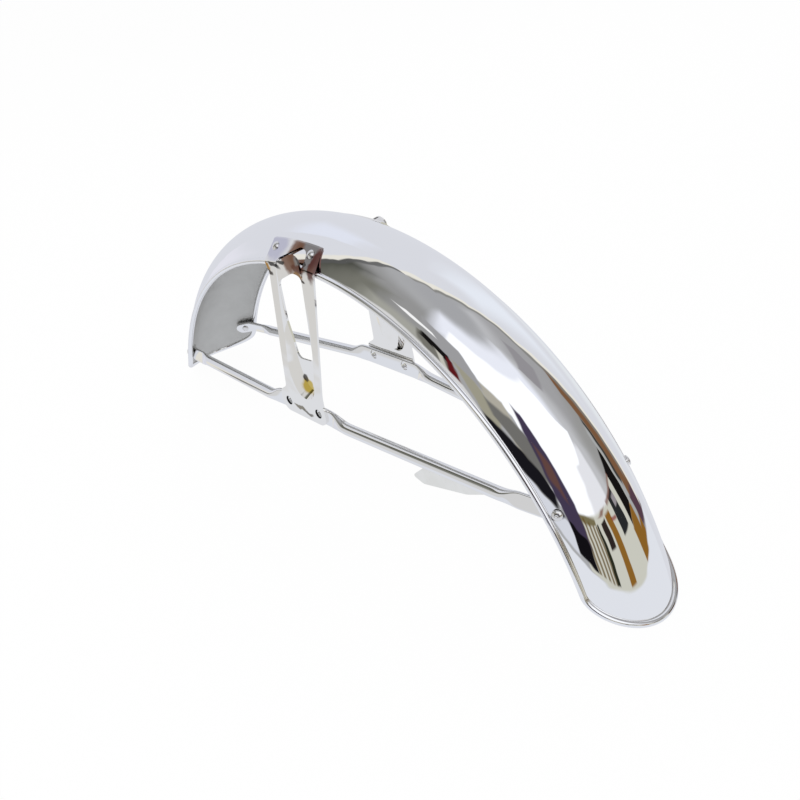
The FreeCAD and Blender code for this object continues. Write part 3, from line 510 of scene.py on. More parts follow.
@dataclass(frozen=True)
class Room:
    """What stands round the chrome: bright window, walls, doors, backdrop, card and table."""

    window_white: Colour = (262.0, 264.0, 268.0)
    cream: Colour = (203.0, 203.0, 192.0)
    ceiling: Colour = (166.0, 167.0, 170.0)
    table: Colour = (226.0, 229.0, 236.0)
    backdrop: Colour = (219.0, 221.0, 228.0)
    black: Colour = (22.0, 20.0, 20.0)
    ochre: Colour = (139.0, 98.0, 40.0)
    brown: Colour = (122.0, 88.0, 62.0)

    def paint(self, view: Panorama) -> None:
        """Paints every shape of the room, from the back to the front.

        Args:
            view: the picture that is painted.
        """
        self.paint_walls(view)
        self.paint_far_wall(view)
        self.paint_left_group(view)
        self.paint_table(view)
        self.paint_backdrop(view)
        self.paint_card(view)

    def paint_walls(self, view: Panorama) -> None:
        """Paints the window light, the grey walls beside it and the ceiling.

        Args:
            view: the picture that is painted.
        """
        view.paint(block(-170, -96, 0, 62), (150, 150, 150), 16)
        view.paint(block(-150, -122, 2, 46), (118, 118, 110), 16)
        view.paint(block(-170, -139, 6, 50), (72, 73, 66), 16)
        view.paint(block(-126, -98, -2, 30), (172, 172, 162), 10, 0.7)
        view.paint(block(8, 82, -10, 78), (192, 193, 196), 12)
        view.paint(block(34, 82, -10, 66), (162, 162, 164), 22)
        view.paint(block(30, 82, 14, 32), (146, 146, 142), 14, 0.6)
        view.paint([(-98, 48), (16, 44), (22, 70), (-20, 76), (-96, 76)], (236, 239, 249), 16)
        view.paint([(-62, 36), (-62, 5), (-42, 5), (-42, 36)], self.window_white, 2)
        view.paint([(26, 60), (34, 48), (57, 46), (61, 60)], (148, 146, 150), 2.5)
        view.paint([(-24, 12), (16, 15), (18, 34), (2, 40), (-16, 36)], (230, 231, 236), 5)
        view.paint([(-96, 35), (-62, 33), (10, 38), (14, 42), (4, 60), (-86, 60)],
                   self.window_white, 3)
        view.paint([(-62, 36), (-47, 8), (-22, 8), (5, 42), (-62, 44)], self.window_white, 4)
        view.paint([(-13, 36), (8, 44), (14, 43), (20, 38), (2, 30.5), (-10, 30)],
                   self.window_white, 1.5)
        view.paint(block(-200, 200, 76, 95), self.ceiling, 14)

    def paint_far_wall(self, view: Panorama) -> None:
        """Paints the low wall across the room with its posts, windows, door and pillar.

        Args:
            view: the picture that is painted.
        """
        view.paint([(-52, 10), (-38, 12), (-21, 14.5), (-5, 18), (40, 17), (62, 17), (62, -10),
                    (-52, -10)], self.cream, 1.2)
        view.paint([(-42, 11.5), (-32, 12.5), (-20, 15), (-22, 11), (-40, 8)], (120, 112, 82), 1.5)
        for west in (-43.0, -38.5, -33.5, -29.0, -25.0):
            view.paint([(west, -8), (west + 2.4, -8), (west + 3.6, 11), (west + 1.2, 10)],
                       (104, 84, 44), 1.2, 0.85)
        view.paint([(-23.5, -8), (-19.2, -8), (-18.0, 2), (-18.6, 12), (-20.8, 11), (-22.4, 2)],
                   (42, 44, 32), 1.0)
        view.paint([(-14.2, 4), (-5.6, 5), (-4, 14.5), (-13, 12)], (46, 38, 36), 1.0)
        view.paint([(-3, -8), (7, -7.5), (8.4, 15.5), (-1.5, 15)], self.ochre, 1.2)
        view.paint([(16.4, 5.5), (31.5, 4.5), (31, 16.5), (17.5, 17)], (40, 42, 44), 1.0)
        view.paint([(24, 12.5), (31, 12), (31, 14.5), (24, 15)], (150, 145, 150), 1.0)
        view.paint([(38.6, 1), (52.5, 1), (52.5, 17.5), (38.6, 17.5)], self.black, 1.2)
        view.paint([(36.8, 1), (50, 1.5), (60, -3), (60, -10.5), (37, -9.5)], self.ochre, 1.2)
        view.paint([(-22, 12.5), (-5, 16.6), (10, 17.4), (10, 16.2), (-5, 15.2), (-22, 11.4)],
                   (120, 70, 58), 1.0, 0.8)
        view.paint([(10, 17.6), (40, 17.2), (40, 15.8), (10, 16.4)], (128, 92, 84), 1.0, 0.8)
        view.paint([(7, 13.2), (16.4, 12), (16.4, 11), (7, 12)], (140, 50, 45), 0.8, 0.8)
        view.paint(block(53, 61, -6, 22), (168, 170, 170), 2.0)
        view.paint([(56, 6), (58, 22), (61, 22), (62, 2), (58, 2)], (62, 60, 56), 1.8)
        view.paint([(60, -2), (62, 30), (72, 34), (79, 12), (80, -14), (70, -12)], self.brown, 2.2)
        view.paint([(58, -1), (66, -4), (82, -13), (92, -20), (88, -20), (60, -10)],
                   (84, 62, 74), 1.5)

    def paint_left_group(self, view: Panorama) -> None:
        """Paints the furniture and the doorway to the left of the window light.

        Args:
            view: the picture that is painted.
        """
        view.paint([(-82, 30), (-80, 5), (-62, 5), (-66, 36), (-84, 36)], (176, 172, 160), 3)
        view.paint([(-105, 50), (-101, 30), (-80, 30), (-80, 38), (-84, 47)], (158, 158, 160), 2)
        view.paint([(-118, 39.5), (-110, 37.8), (-97.5, 38.6), (-99, 41), (-112, 42)],
                   (250, 250, 250), 1.2)
        view.paint([(-109, 13), (-99, 11), (-96, 30), (-107, 31)], (118, 117, 110), 1.5)
        view.paint([(-106.5, 26), (-95, 23), (-94.5, 31), (-105, 32)], self.black, 1.5)
        view.paint([(-103, 14), (-100.5, 13.5), (-99, 25), (-102, 26)], (196, 194, 184), 1.2)
        view.paint([(-101, 11), (-97.5, 12), (-94, 28), (-96.4, 29)], (92, 24, 28), 1.2)
        view.paint([(-93, 31), (-84, 31), (-78, 20), (-84, 10), (-92, 8)], (158, 155, 138), 2.5)
        view.paint([(-84, 10), (-82, 25), (-68, 29), (-57, 28), (-56, 6), (-66, 10)],
                   (112, 111, 108), 3)
        view.paint([(-96, 2), (-92, 9), (-80, 12), (-66, 13), (-58, 8), (-64, 1), (-88, -2)],
                   (24, 23, 28), 2.5)
        view.paint([(-160, -30), (-135, 14), (-118, 20), (-96, 14), (-92, 4), (-84, -14),
                    (-84, -30)], (216, 216, 216), 3)
        view.paint([(-140, 12), (-120, 12), (-96, 5), (-96, 3), (-120, 9), (-140, 9)],
                   (160, 160, 160), 1.5, 0.8)

    def paint_table(self, view: Panorama) -> None:
        """Paints the pale table and its dark edge line.

        Args:
            view: the picture that is painted.
        """
        view.paint([(-100, -90), (-84, -14), (-80, -9), (-60, -9), (-20, -9), (14, -7.4),
                    (37, -9.2), (60, -11), (90, -19), (100, -90)], self.table, 1.2)
        view.paint([(-86, -2), (-80, -10), (-60, -9), (-56, 1)], (214, 217, 226), 1.5)
        view.paint([(-82, -13), (-81, -11), (-60, 3), (-59.5, 1.6)], (40, 40, 52), 0.8)
        view.paint([(-200, -90), (-200, -28), (-84, -24), (-60, -90)], self.table, 3)

    def paint_backdrop(self, view: Panorama) -> None:
        """Paints the curved backdrop behind the guard with its pale rim.

        Args:
            view: the picture that is painted.
        """
        right = [(77, -20), (77, 43), (90, 62), (105, 70), (135, 75), (181, 70), (181, -95),
                 (84, -95)]
        left = [(-181, -95), (-181, 70), (-157, 56), (-147, 38), (-147, 0), (-160, -30)]
        outer_left = [(-181, -40), (-181, 74), (-155, 60), (-143, 40), (-143, 4), (-160, -30)]
        outer_right = [(74, -14), (73, 43), (88, 65), (104, 74), (135, 79), (181, 74), (181, 0)]
        view.paint(outer_left, (90, 90, 90), 2.0, 0.8)
        view.paint([(70, -4), (69, 43), (85, 68), (103, 77.5), (135, 81.5), (181, 76), (181, 0)],
                   (128, 127, 122), 2.5, 0.8)
        view.paint(outer_right, (236, 233, 223), 2.0)
        view.paint(left, (234, 231, 222), 1.5)
        view.paint(right, self.backdrop, 2.0)
        view.paint(block(90, 112, 8, 48), (233, 238, 247), 20)
        view.paint(block(96, 118, -27, -8), (229, 233, 237), 14)
        view.paint(block(156, 182, 28, 52), (227, 231, 243), 14)
        view.paint([(-181, -95), (-181, 66), (-159, 52), (-151, 36), (-151, 0), (-164, -30)],
                   self.backdrop, 2.0)
        view.paint(block(-183, -166, -34, 4), (230, 230, 239), 14)

    def paint_card(self, view: Panorama) -> None:
        """Paints a plain dark upright card before the window light.

        Args:
            view: the picture that is painted.
        """
        view.paint([(-58, 0), (-41, 0), (-39, 14), (-42, 24), (-50, 40), (-55.5, 41), (-58.5, 30),
                    (-60, 12)], (66, 57, 80), 2.5)
        view.paint([(-57, 14), (-47, 12), (-46, 24), (-55, 27)], (104, 72, 60), 4, 0.8)
        view.paint([(-59, -8), (-43.5, -8), (-42, 1), (-57, 2)], (18, 16, 20), 1.2)


@dataclass
class Studio:
    """Camera, lamps, world and floor round the guard, in metres."""

    camera_place: tuple[float, float, float] = (0.5442, -0.3916, 0.4839)
    camera_right: tuple[float, float, float] = (0.6675, 0.7355, -0.1159)
    camera_up: tuple[float, float, float] = (-0.3351, 0.4357, 0.8354)
    camera_back: tuple[float, float, float] = (0.6649, -0.5188, 0.5373)
    focal_pixels: float = 849.0
    frame_pixels: float = 800.0
    sensor: float = 36.0
    clip: tuple[float, float] = (0.01, 50.0)
    fill: float = 0.62
    room_base: Colour = (170.0, 171.0, 173.0)
    lamps: tuple[tuple[str, tuple[float, float, float], float, float], ...] = (
        ("key_lamp", (0.5, -1.4, 2.2), 26.0, 1.8),
        ("back_lamp", (-1.2, 1.2, 1.8), 12.0, 1.6),
    )
    lamp_aim: tuple[float, float, float] = (0.0, 0.0, 0.1)
    floor_size: float = 6.0
    floor_white: float = 0.93
    floor_roughness: float = 0.6
    floor_glow: float = 0.97

    def build(self) -> None:
        """Sets the whole studio up."""
        scene = bpy.context.scene
        scene.view_settings.view_transform = "Standard"
        self.add_camera(scene)
        self.add_world(scene)
        self.add_lamps(scene)
        self.add_floor(scene)
        LOG.info("studio: camera, world, %d lamps and floor", len(self.lamps))

    def add_camera(self, scene: bpy.types.Scene) -> None:
        """Puts the camera at the photograph's place and angle.

        Args:
            scene: the scene that it joins.
        """
        data = bpy.data.cameras.new("camera")
        data.sensor_width = self.sensor
        data.sensor_fit = "HORIZONTAL"
        data.lens = self.focal_pixels / self.frame_pixels * self.sensor
        data.clip_start, data.clip_end = self.clip
        camera = bpy.data.objects.new("camera", data)
        axes = Matrix((self.camera_right, self.camera_up, self.camera_back)).transposed()
        camera.matrix_world = Matrix.Translation(self.camera_place) @ axes.to_4x4()
        scene.collection.objects.link(camera)
        scene.camera = camera

    def add_world(self, scene: bpy.types.Scene) -> None:
        """Sets white for the camera, the room for mirrors and a plain fill for the rest.

        Args:
            scene: the scene that the world belongs to.
        """
        world = bpy.data.worlds.new("studio")
        world.use_nodes = True
        tree = world.node_tree
        tree.nodes.clear()
        view = Panorama(tree, linear(*self.room_base))
        Room().paint(view)
        path = tree.nodes.new("ShaderNodeLightPath")
        fill = tree.nodes.new("ShaderNodeMix")
        fill.data_type = "RGBA"
        fill.inputs["A"].default_value = (self.fill, self.fill, self.fill, 1)
        tree.links.new(path.outputs["Is Glossy Ray"], fill.inputs["Factor"])
        tree.links.new(view.colour, fill.inputs["B"])
        seen = tree.nodes.new("ShaderNodeMix")
        seen.data_type = "RGBA"
        seen.inputs["B"].default_value = (1, 1, 1, 1)
        tree.links.new(path.outputs["Is Camera Ray"], seen.inputs["Factor"])
        tree.links.new(fill.outputs["Result"], seen.inputs["A"])
        shader = tree.nodes.new("ShaderNodeBackground")
        tree.links.new(seen.outputs["Result"], shader.inputs["Color"])
        out = tree.nodes.new("ShaderNodeOutputWorld")
        tree.links.new(shader.outputs[0], out.inputs["Surface"])
        world.cycles.sampling_method = "NONE"
        scene.world = world

    def add_lamps(self, scene: bpy.types.Scene) -> None:
        """Adds the large soft lamps, which mirrors don't show.

        Args:
            scene: the scene that they join.
        """
        for name, spot, power, width in self.lamps:
            data = bpy.data.lights.new(name, "AREA")
            data.energy = power
            data.size = width
            lamp = bpy.data.objects.new(name, data)
            aim = (Vector(self.lamp_aim) - Vector(spot)).to_track_quat("-Z", "Y")
            lamp.matrix_world = Matrix.Translation(spot) @ aim.to_matrix().to_4x4()
            lamp.visible_glossy = False
            scene.collection.objects.link(lamp)

    def add_floor(self, scene: bpy.types.Scene) -> None:
        """Adds a plain pale floor that keeps a faint shadow.

        Args:
            scene: the scene that it joins.
        """
        mesh = bpy.data.meshes.new("floor")
        shape = bmesh.new()
        bmesh.ops.create_grid(shape, x_segments=1, y_segments=1, size=self.floor_size)
        shape.to_mesh(mesh)
        shape.free()
        floor = bpy.data.objects.new("floor", mesh)
        scene.collection.objects.link(floor)
        material = bpy.data.materials.new("floor_white")
        material.use_nodes = True
        nodes = material.node_tree.nodes
        links = material.node_tree.links
        shader = nodes["Principled BSDF"]
        shader.inputs["Base Color"].default_value = (*[self.floor_white] * 3, 1)
        shader.inputs["Roughness"].default_value = self.floor_roughness
        glow = nodes.new("ShaderNodeEmission")
        glow.inputs["Strength"].default_value = 1.0
        blend = nodes.new("ShaderNodeMixShader")
        path = nodes.new("ShaderNodeLightPath")
        share = nodes.new("ShaderNodeMath")
        share.operation = "MULTIPLY"
        share.inputs[1].default_value = self.floor_glow
        links.new(path.outputs["Is Camera Ray"], share.inputs[0])
        links.new(share.outputs[0], blend.inputs["Fac"])
        links.new(shader.outputs[0], blend.inputs[1])
        links.new(glow.outputs[0], blend.inputs[2])
        links.new(blend.outputs[0], nodes["Material Output"].inputs["Surface"])
        mesh.materials.append(material)
        floor.visible_glossy = False


# Making of pieces


class Workshop:
    """Makes pieces from meshes, dresses them and hands them to the frame."""

    def __init__(self) -> None:
        """Starts with no finish made."""
        self.made: dict[str, bpy.types.Material] = {}

    def material(self, finish: Finish) -> bpy.types.Material:
        """Makes a finish's material the first time that it is asked for.

        Args:
            finish: the finish.

        Returns:
            Its material.
        """
        if finish.name not in self.made:
            self.made[finish.name] = finish.build()
        return self.made[finish.name]

    def piece(
        self,
        name: str,
        shape: bmesh.types.BMesh,
        finishes: Sequence[Finish],
        nodes: Sequence[str] = (),
        sharp: Optional[float] = None,
    ) -> bpy.types.Object:
        """Turns a shape into a smooth piece of the guard.

        Args:
            name: name of the piece.
            shape: the finished shape in metres, which is freed.
            finishes: finishes in the order of the faces' material numbers.
            nodes: nodes of the model that the piece stands for.
            sharp: angle in degrees above which an edge stays sharp.

        Returns:
            The piece.
        """
        mesh = bpy.data.meshes.new(name)
        for each in shape.faces:
            each.smooth = True
        shape.to_mesh(mesh)
        shape.free()
        if sharp is not None:
            mesh.set_sharp_from_angle(angle=math.radians(sharp))
        for finish in finishes:
            mesh.materials.append(self.material(finish))
        item = bpy.data.objects.new(name, mesh)
        bpy.context.scene.collection.objects.link(item)
        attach(item, "root")
        if nodes:
            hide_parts(*nodes)
        LOG.info("%s: %d faces", name, len(mesh.polygons))
        return item

    def dress_node(self, node: str, finish: Finish) -> None:
        """Gives a node of the model its finish.

        Args:
            node: name of the node.
            finish: the finish.
        """
        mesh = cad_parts[node].data
        mesh.materials.clear()
        mesh.materials.append(self.material(finish))
        LOG.info("%s dressed", node)


def skin_rings(shape: bmesh.types.BMesh, rings: Sequence[Sequence[Vector]], closed: bool) -> None:
    """Joins rings of points into a tube.

    Args:
        shape: the shape that the tube is added to.
        rings: closed rings with the same number of points each.
        closed: whether the last ring joins the first, instead of both ends being capped.
    """
    loops = []
    for ring in rings:
        verts = [shape.verts.new(point) for point in ring]
        loops.append([
            shape.edges.new((first, second))
            for first, second in zip(verts, [*verts[1:], verts[0]])
        ])
    pairs = list(zip(loops, loops[1:]))
    if closed:
        pairs.append((loops[-1], loops[0]))
    for first, second in pairs:
        bmesh.ops.bridge_loops(shape, edges=first + second)
    if not closed:
        for loop in (loops[0], loops[-1]):
            bmesh.ops.contextual_create(shape, geom=loop)
    bmesh.ops.recalc_face_normals(shape, faces=shape.faces)


def ring_at(
    centre: Vector, along: Vector, normal: Vector, width: float, height: float, count: int
) -> list[Vector]:
    """Lays points round an obround section across a path.

    Args:
        centre: middle of the section.
        along: direction of the path.
        normal: direction of the section's thickness.
        width: size across the normal.
        height: size along the normal.
        count: number of points.

    Returns:
        The points, evenly spread round both rounded sides.
    """
    along = along.normalized()
    across = along.cross(normal).normalized()
    upright = across.cross(along).normalized()
    radius = min(width, height) / 2
    points = []
    for index in range(count):
        turn = 2 * math.pi * (index + 0.5) / count
        u = math.cos(turn) * radius
        v = math.sin(turn) * radius
        u += math.copysign(max(width / 2 - radius, 0), u)
        v += math.copysign(max(height / 2 - radius, 0), v)
        points.append(centre + across * u + upright * v)
    return points


@dataclass
class Blade:
    """The domed sheet, its rolled bead and the patches of its four pads."""

    rows: int = 420
    columns: int = 96
    bead_points: int = 28
    corner_steps: int = 48
    rim_steps: int = 400
    pad_length: float = 40.0
    pad_points: int = 72
    pad_foot: float = 0.1
    sizes: GuardSizes = SIZES

    def across_at(self, share: float) -> float:
        """Spreads the sheet's columns, closer together near the rim.

        Args:
            share: place between the middle plane, 0, and a rim, -1 or 1.

        Returns:
            The distance from the middle plane.
        """
        corner_radius = self.sizes.tip[1]
        inset = self.sizes.half_width - corner_radius
        flat = inset / (inset + corner_radius * math.pi / 2)
        amount = abs(share)
        if amount <= flat:
            place = inset * amount / flat
        else:
            turn = (amount - flat) / (1 - flat) * math.pi / 2
            place = inset + corner_radius * math.sin(turn)
        return math.copysign(place, share)

    def sheet(self) -> bmesh.types.BMesh:
        """Shapes the outside of the domed sheet up to both ends' outlines.

        Returns:
            The open shape in metres.
        """
        shape = bmesh.new()
        bmesh.ops.create_grid(
            shape, x_segments=self.rows, y_segments=self.columns, size=1.0
        )
        for vert in shape.verts:
            across = self.across_at(vert.co.y)
            rear = -self.sizes.end_at(self.sizes.tail, across)
            front = self.sizes.end_at(self.sizes.tip, across)
            angle = rear + (front - rear) * (vert.co.x + 1) / 2
            vert.co = self.sizes.place(self.sizes.radius_at(across), angle, across)
        return shape

    def bead_line(self) -> list[Vector]:
        """Follows the bead's centre all the way round.

        Returns:
            The points in metres.
        """
        sizes = self.sizes
        points: list[Vector] = []
        for direction, end in ((1, sizes.tip), (-1, sizes.tail)):
            reach, inset, centre, joint = sizes.corner(end)
            end_radius, corner_radius = end
            outline = []
            for step in range(self.corner_steps + 1):
                turn = math.pi / 2 + (joint - math.pi / 2) * step / self.corner_steps
                outline.append((
                    inset + corner_radius * math.sin(turn), centre + corner_radius * math.cos(turn)
                ))
            steps = max(int(joint * end_radius), 1)
            for step in range(1, steps + 1):
                turn = joint * (1 - step / steps)
                outline.append((
                    end_radius * math.sin(turn),
                    reach - end_radius + end_radius * math.cos(turn),
                ))
            whole = [(-across, along) for across, along in outline] + outline[-2::-1]
            if direction < 0:
                whole.reverse()
            for across, along in whole:
                radius = sizes.radius_at(across)
                angle = sizes.end_angle - sizes.end_back + math.asin(along / radius)
                points.append(sizes.place(radius, direction * angle, across))
            front = sizes.end_at(sizes.tip, sizes.half_width)
            rear = -sizes.end_at(sizes.tail, sizes.half_width)
            first, last = (front, rear) if direction > 0 else (rear, front)
            for step in range(1, self.rim_steps):
                angle = first + (last - first) * step / self.rim_steps
                points.append(
                    sizes.place(sizes.rim_radius, angle, direction * sizes.half_width)
                )
        return points

    def bead(self) -> bmesh.types.BMesh:
        """Shapes the rolled bead as one closed tube.

        Returns:
            The shape in metres.
        """
        shape = bmesh.new()
        line = self.bead_line()
        rings = []
        middle = self.sizes.section_centre
        size = 2 * self.sizes.bead_radius * MM
        for index, point in enumerate(line):
            along = line[(index + 1) % len(line)] - line[index - 1]
            height = point.z / MM - self.sizes.axle_height
            angle = math.atan2(point.x / MM, height)
            outward = point - self.sizes.place(middle, angle, 0)
            rings.append(ring_at(point, along, outward, size, size, self.bead_points))
        skin_rings(shape, rings, True)
        return shape

    def pad(self, side: Side, angle: float) -> bmesh.types.BMesh:
        """Shapes the plain patch of one pad, with its rim just under the sheet's outside.

        Args:
            side: side of the guard.
            angle: angle of its rivet forward from the top.

        Returns:
            The shape in metres.
        """
        sizes = self.sizes
        half = sizes.tab[0] / 2
        direction = 1 if angle > 0 else -1
        stretch = self.pad_length - half
        shape = bmesh.new()
        bmesh.ops.create_circle(shape, cap_ends=True, segments=self.pad_points, radius=half)
        for vert in shape.verts:
            if vert.co.x * direction < 0:
                vert.co.x -= direction * (stretch - half)
        axes = sizes.stay_axes(side.value, angle, 0)
        for vert in shape.verts:
            point = axes @ Vector((vert.co.x, vert.co.y, sizes.section_radius))
            turn = math.atan2(point.x, point.z)
            foot = Vector((math.sin(turn), 0, math.cos(turn))) * sizes.section_centre
            out = (point - foot).normalized()
            vert.co = sizes.row(foot + out * (sizes.section_radius - self.pad_foot))
        bmesh.ops.recalc_face_normals(shape, faces=shape.faces)
        return shape

    def build(self, shop: Workshop) -> None:
        """Makes the sheet, the bead and the four pads.

        Args:
            shop: the workshop that makes the pieces.
        """
        sheet = shop.piece(
            "blade_sheet", self.sheet(), (BLADE_CHROME, SATIN_INSIDE),
            ("mudguard_blade",),
        )
        wall = sheet.modifiers.new("wall", "SOLIDIFY")
        wall.thickness = self.sizes.sheet * MM
        wall.offset = -1.0
        wall.material_offset = 1
        wall.material_offset_rim = 1
        shop.piece(
            "blade_bead", self.bead(), (BEAD_CHROME,), ("mudguard_blade",)
        )
        for side in Side:
            for end, angle in (
                ("front", self.sizes.front_rivet), ("rear", self.sizes.rear_rivet)
            ):
                shop.piece(
                    f"{side.name.lower()}_{end}_pad", self.pad(side, angle), (BLADE_CHROME,),
                    ("mudguard_blade",),
                )


@dataclass
class Stay:
    """One stay: a tube flattened where the fork bolts pass and at both riveted ends."""

    side: Side
    tube: float = 10.8
    flat: tuple[float, float] = (17.4, 4.0)
    flat_across: float = 51.5
    flat_rear: tuple[float, float] = (-68.5, 157.21)
    flat_front: tuple[float, float] = (7.3, 162.79)
    rear_tube: tuple[float, float] = (-88.5, 152.04)
    front_tube: tuple[float, float] = (27.3, 161.06)
    kink: tuple[float, float] = (196.0, 169.31)
    tab_bend: float = 9.0
    tab_length: float = 24.0
    taper: float = 20.0
    tab_reach: float = 13.0
    points: int = 40
    bolts: tuple[tuple[float, float], ...] = ((-7.66, 164.08), (-53.54, 160.72))
    bolt: float = 4.6
    step: float = 1.5
    easing: int = 14
    end_turns: tuple[float, ...] = (20, 40, 58, 72, 82, 88)
    end_thinning: float = 0.2
    drill_steps: int = 48
    crease: float = 30.0
    sizes: GuardSizes = SIZES

    def stations(self) -> list[tuple[Vector, Vector, float, float]]:
        """Places the left stay's sections from the rear rivet to the front one.

        Returns:
            Centre, direction of thickness, width and thickness of each section.
        """
        sizes = self.sizes
        outward = Vector((0, 1, 0))
        level = sizes.section_radius - sizes.tab_seat - sizes.tab[1] / 2
        rear_tube = Vector((self.rear_tube[0], self.flat_across, self.rear_tube[1]))
        front_tube = Vector((self.front_tube[0], self.flat_across, self.front_tube[1]))
        front_axes = sizes.stay_axes(1, sizes.front_rivet, level)
        share = (self.kink[0] - front_tube.x) / (front_axes.translation.x - front_tube.x)
        kink_y = front_tube.y + (front_axes.translation.y - front_tube.y) * share
        kink = Vector((self.kink[0], kink_y, self.kink[1]))
        ends = []
        for angle, aim, target in (
            (sizes.rear_rivet, rear_tube, rear_tube), (sizes.front_rivet, front_tube, kink)
        ):
            axes = sizes.stay_axes(1, angle, level)
            rivet = axes.translation
            normal = axes.to_3x3() @ Vector((0, 0, 1))
            inward = (aim - rivet).normalized()
            tab = (inward - normal * inward.dot(normal)).normalized()
            bend = rivet + tab * self.tab_bend
            onward = (target - bend).normalized()
            flat_end = bend + onward * self.tab_length
            turned = (normal - onward * normal.dot(onward)).normalized()
            width, thick = sizes.tab
            ends.append([
                (rivet - tab * (self.tab_reach - width / 2), normal, width, thick),
                (rivet, normal, width, thick),
                (bend, normal, width, thick),
                (flat_end, turned, width, thick),
                (flat_end + onward * self.taper, outward, self.tube, self.tube),
            ])
        rear, front = ends
        middle = [
            (rear_tube, outward, self.tube, self.tube),
            (Vector((self.flat_rear[0], self.flat_across, self.flat_rear[1])), outward, *self.flat),
            (Vector((self.flat_front[0], self.flat_across, self.flat_front[1])), outward,
             *self.flat),
            (front_tube, outward, self.tube, self.tube),
            (kink, outward, self.tube, self.tube),
        ]
        return rear + middle + front[::-1]

    def spine(self) -> list[tuple[Vector, Vector, float, float]]:
        """Joins the sections by eased changes and rounded turns.

        Returns:
            Many sections close together, in the same terms.
        """
        keys = self.stations()
        dense = []
        for first, second in zip(keys, keys[1:]):
            run = (second[0] - first[0]).length
            steps = max(int(run / self.step), 2)
            for step in range(steps):
                share = step / steps
                eased = smooth_step(share)
                dense.append((
                    first[0].lerp(second[0], share),
                    first[1].lerp(second[1], eased).normalized(),
                    first[2] + (second[2] - first[2]) * eased,
                    first[3] + (second[3] - first[3]) * eased,
                ))
        dense.append(keys[-1])
        centres = [item[0].copy() for item in dense]
        for _ in range(self.easing):
            middle = centres[:]
            for index in range(1, len(centres) - 1):
                middle[index] = (
                    centres[index - 1] + centres[index] * 2 + centres[index + 1]
                ) / 4
            centres = middle
        return [(centre, *item[1:]) for centre, item in zip(centres, dense)]

    def blank(self) -> bmesh.types.BMesh:
        """Shapes the stay with both ends rounded and no bolt holes.

        Returns:
            The shape in metres.
        """
        spine = self.spine()
        half = self.sizes.tab[0] / 2
        rings = []
        for index, (centre, normal, width, thick) in enumerate(spine):
            along = spine[min(index + 1, len(spine) - 1)][0] - spine[max(index - 1, 0)][0]
            rings.append((centre, along, normal, width, thick))
        for last in (True, False):
            centre, along, normal, width, thick = rings[-1] if last else rings[0]
            way = along.normalized() * (1 if last else -1)
            for turn in self.end_turns:
                angle = math.radians(turn)
                thinning = self.end_thinning if turn > self.end_turns[3] else 0
                ring = (centre + way * half * math.sin(angle), along, normal,
                        max(width * math.cos(angle), thick / 2), thick * (1 - thinning))
                if last:
                    rings.append(ring)
                else:
                    rings.insert(0, ring)
        side = self.side.value
        shape = bmesh.new()
        skin_rings(shape, [
            [
                self.sizes.row(Vector((point.x, point.y * side, point.z)))
                for point in ring_at(centre, along, normal, width, thick, self.points)
            ]
            for centre, along, normal, width, thick in rings
        ], False)
        return shape

    def drills(self) -> bmesh.types.BMesh:
        """Shapes two straight drills for the fork bolts.

        Returns:
            The shape in metres.
        """
        shape = bmesh.new()
        reach = self.flat[1]
        profile = [(0.0, -reach), (self.bolt, -reach), (self.bolt, reach), (0.0, reach)]
        for forward, high in self.bolts:
            verts = [shape.verts.new((radius, 0, level)) for radius, level in profile]
            edges = [shape.edges.new(pair) for pair in zip(verts, verts[1:])]
            bmesh.ops.spin(
                shape, geom=verts + edges, cent=(0, 0, 0), axis=(0, 0, 1), dvec=(0, 0, 0),
                angle=math.tau, steps=self.drill_steps, use_merge=True, use_normal_flip=False,
                use_duplicate=False,
            )
            for vert in shape.verts:
                if not vert.tag:
                    vert.co = self.sizes.row(Vector((
                        forward + vert.co.x, self.side.value * self.flat_across + vert.co.z,
                        high + vert.co.y,
                    )))
                    vert.tag = True
        bmesh.ops.remove_doubles(shape, verts=shape.verts, dist=1e-6)
        bmesh.ops.recalc_face_normals(shape, faces=shape.faces)
        return shape

    def build(self, shop: Workshop) -> None:
        """Makes the stay and drills it.

        Args:
            shop: the workshop that makes the piece.
        """
        name = self.side.name.lower()
        blank, drill = (bpy.data.meshes.new(f"{name}_{part}") for part in ("blank", "drill"))
        for mesh, shape in ((blank, self.blank()), (drill, self.drills())):
            shape.to_mesh(mesh)
            shape.free()
        tools = [bpy.data.objects.new(mesh.name, mesh) for mesh in (blank, drill)]
        for tool in tools:
            bpy.context.scene.collection.objects.link(tool)
        cut = tools[0].modifiers.new("cut", "BOOLEAN")
        cut.operation = "DIFFERENCE"
        cut.solver = "EXACT"
        cut.object = tools[1]
        ready = tools[0].evaluated_get(bpy.context.evaluated_depsgraph_get())
        drilled = bmesh.new()
        drilled.from_mesh(ready.data)
        for tool in tools:
            bpy.data.objects.remove(tool)
        shop.piece(f"{name}_stay_tube", drilled, (STAY_CHROME,),
                   (f"{name}_stay",), self.crease)


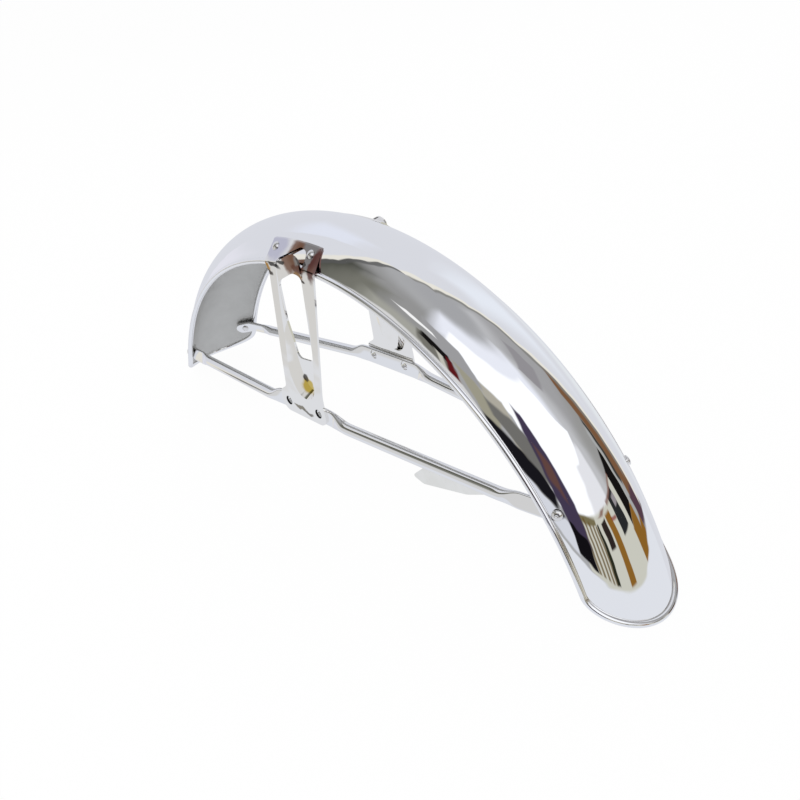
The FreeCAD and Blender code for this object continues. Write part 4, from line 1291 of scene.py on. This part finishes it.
@dataclass
class Rivet:
    """One closed rivet: a domed head with a small dimple and its closed end."""

    head: float = 4.1
    rise: float = 1.7
    tail: float = 3.5
    tail_height: float = 1.5
    shank: float = 2.4
    steps: int = 40
    crease: float = 50.0

    def shape(self, axes: Matrix, grip: float) -> bmesh.types.BMesh:
        """Turns the rivet at a frame whose Z points out of the head.

        Args:
            axes: frame at the underside of the head, in millimetres round the axle.
            grip: distance from the head to the closed end.

        Returns:
            The turned shape in metres.
        """
        profile = [
            (0.0, self.rise - 0.5), (0.8, self.rise - 0.45), (1.2, self.rise - 0.02),
            (1.8, self.rise - 0.05), (2.6, self.rise - 0.28), (3.4, self.rise - 0.72),
            (self.head - 0.15, 0.55), (self.head, 0.25), (self.head - 0.1, 0.0),
            (self.shank, 0.0), (self.shank, -grip), (self.tail, -grip),
            (self.tail, -grip - self.tail_height + 0.4),
            (self.tail - 0.4, -grip - self.tail_height), (0.0, -grip - self.tail_height),
        ]
        shape = bmesh.new()
        verts = [shape.verts.new((x, 0, z)) for x, z in profile]
        edges = [shape.edges.new(pair) for pair in zip(verts, verts[1:])]
        bmesh.ops.spin(
            shape, geom=verts + edges, cent=(0, 0, 0), axis=(0, 0, 1), dvec=(0, 0, 0),
            angle=math.tau, steps=self.steps, use_merge=True, use_normal_flip=False,
            use_duplicate=False,
        )
        bmesh.ops.remove_doubles(shape, verts=shape.verts, dist=1e-5)
        bmesh.ops.recalc_face_normals(shape, faces=shape.faces)
        for vert in shape.verts:
            vert.co = SIZES.row(axes @ vert.co)
        return shape


@dataclass
class Fasteners:
    """The eight rivets: four turned ones at the stays and the model's own at the brackets."""

    rivet: Rivet = field(default_factory=Rivet)

    def build(self, shop: Workshop) -> None:
        """Makes the rivets at the stays and dresses those at the brackets.

        Args:
            shop: the workshop that makes the pieces.
        """
        grip = SIZES.pad_raise + SIZES.tab_seat + SIZES.tab[1]
        for side in Side:
            for end, angle in (("front", SIZES.front_rivet), ("rear", SIZES.rear_rivet)):
                name = f"{side.name.lower()}_{end}_stay_rivet"
                axes = SIZES.stay_axes(side.value, angle, SIZES.section_radius + SIZES.pad_raise)
                shop.piece(f"{name}_turned", self.rivet.shape(axes, grip), (RIVET_STEEL,),
                           (name,), self.rivet.crease)
                shop.dress_node(f"{side.name.lower()}_{end}_bracket_rivet", RIVET_STEEL)


def main() -> None:
    """Builds the studio and every piece of the guard."""
    logging.basicConfig(level=logging.INFO, format="%(name)s: %(message)s")
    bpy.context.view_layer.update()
    Studio().build()
    shop = Workshop()
    Blade().build(shop)
    for side in Side:
        Stay(side).build(shop)
        shop.dress_node(f"{side.name.lower()}_fork_bracket", BRACKET_CHROME)
    shop.dress_node("cable_guide", GUIDE_CHROME)
    Fasteners().build(shop)


if __name__ == "__main__":
    main()
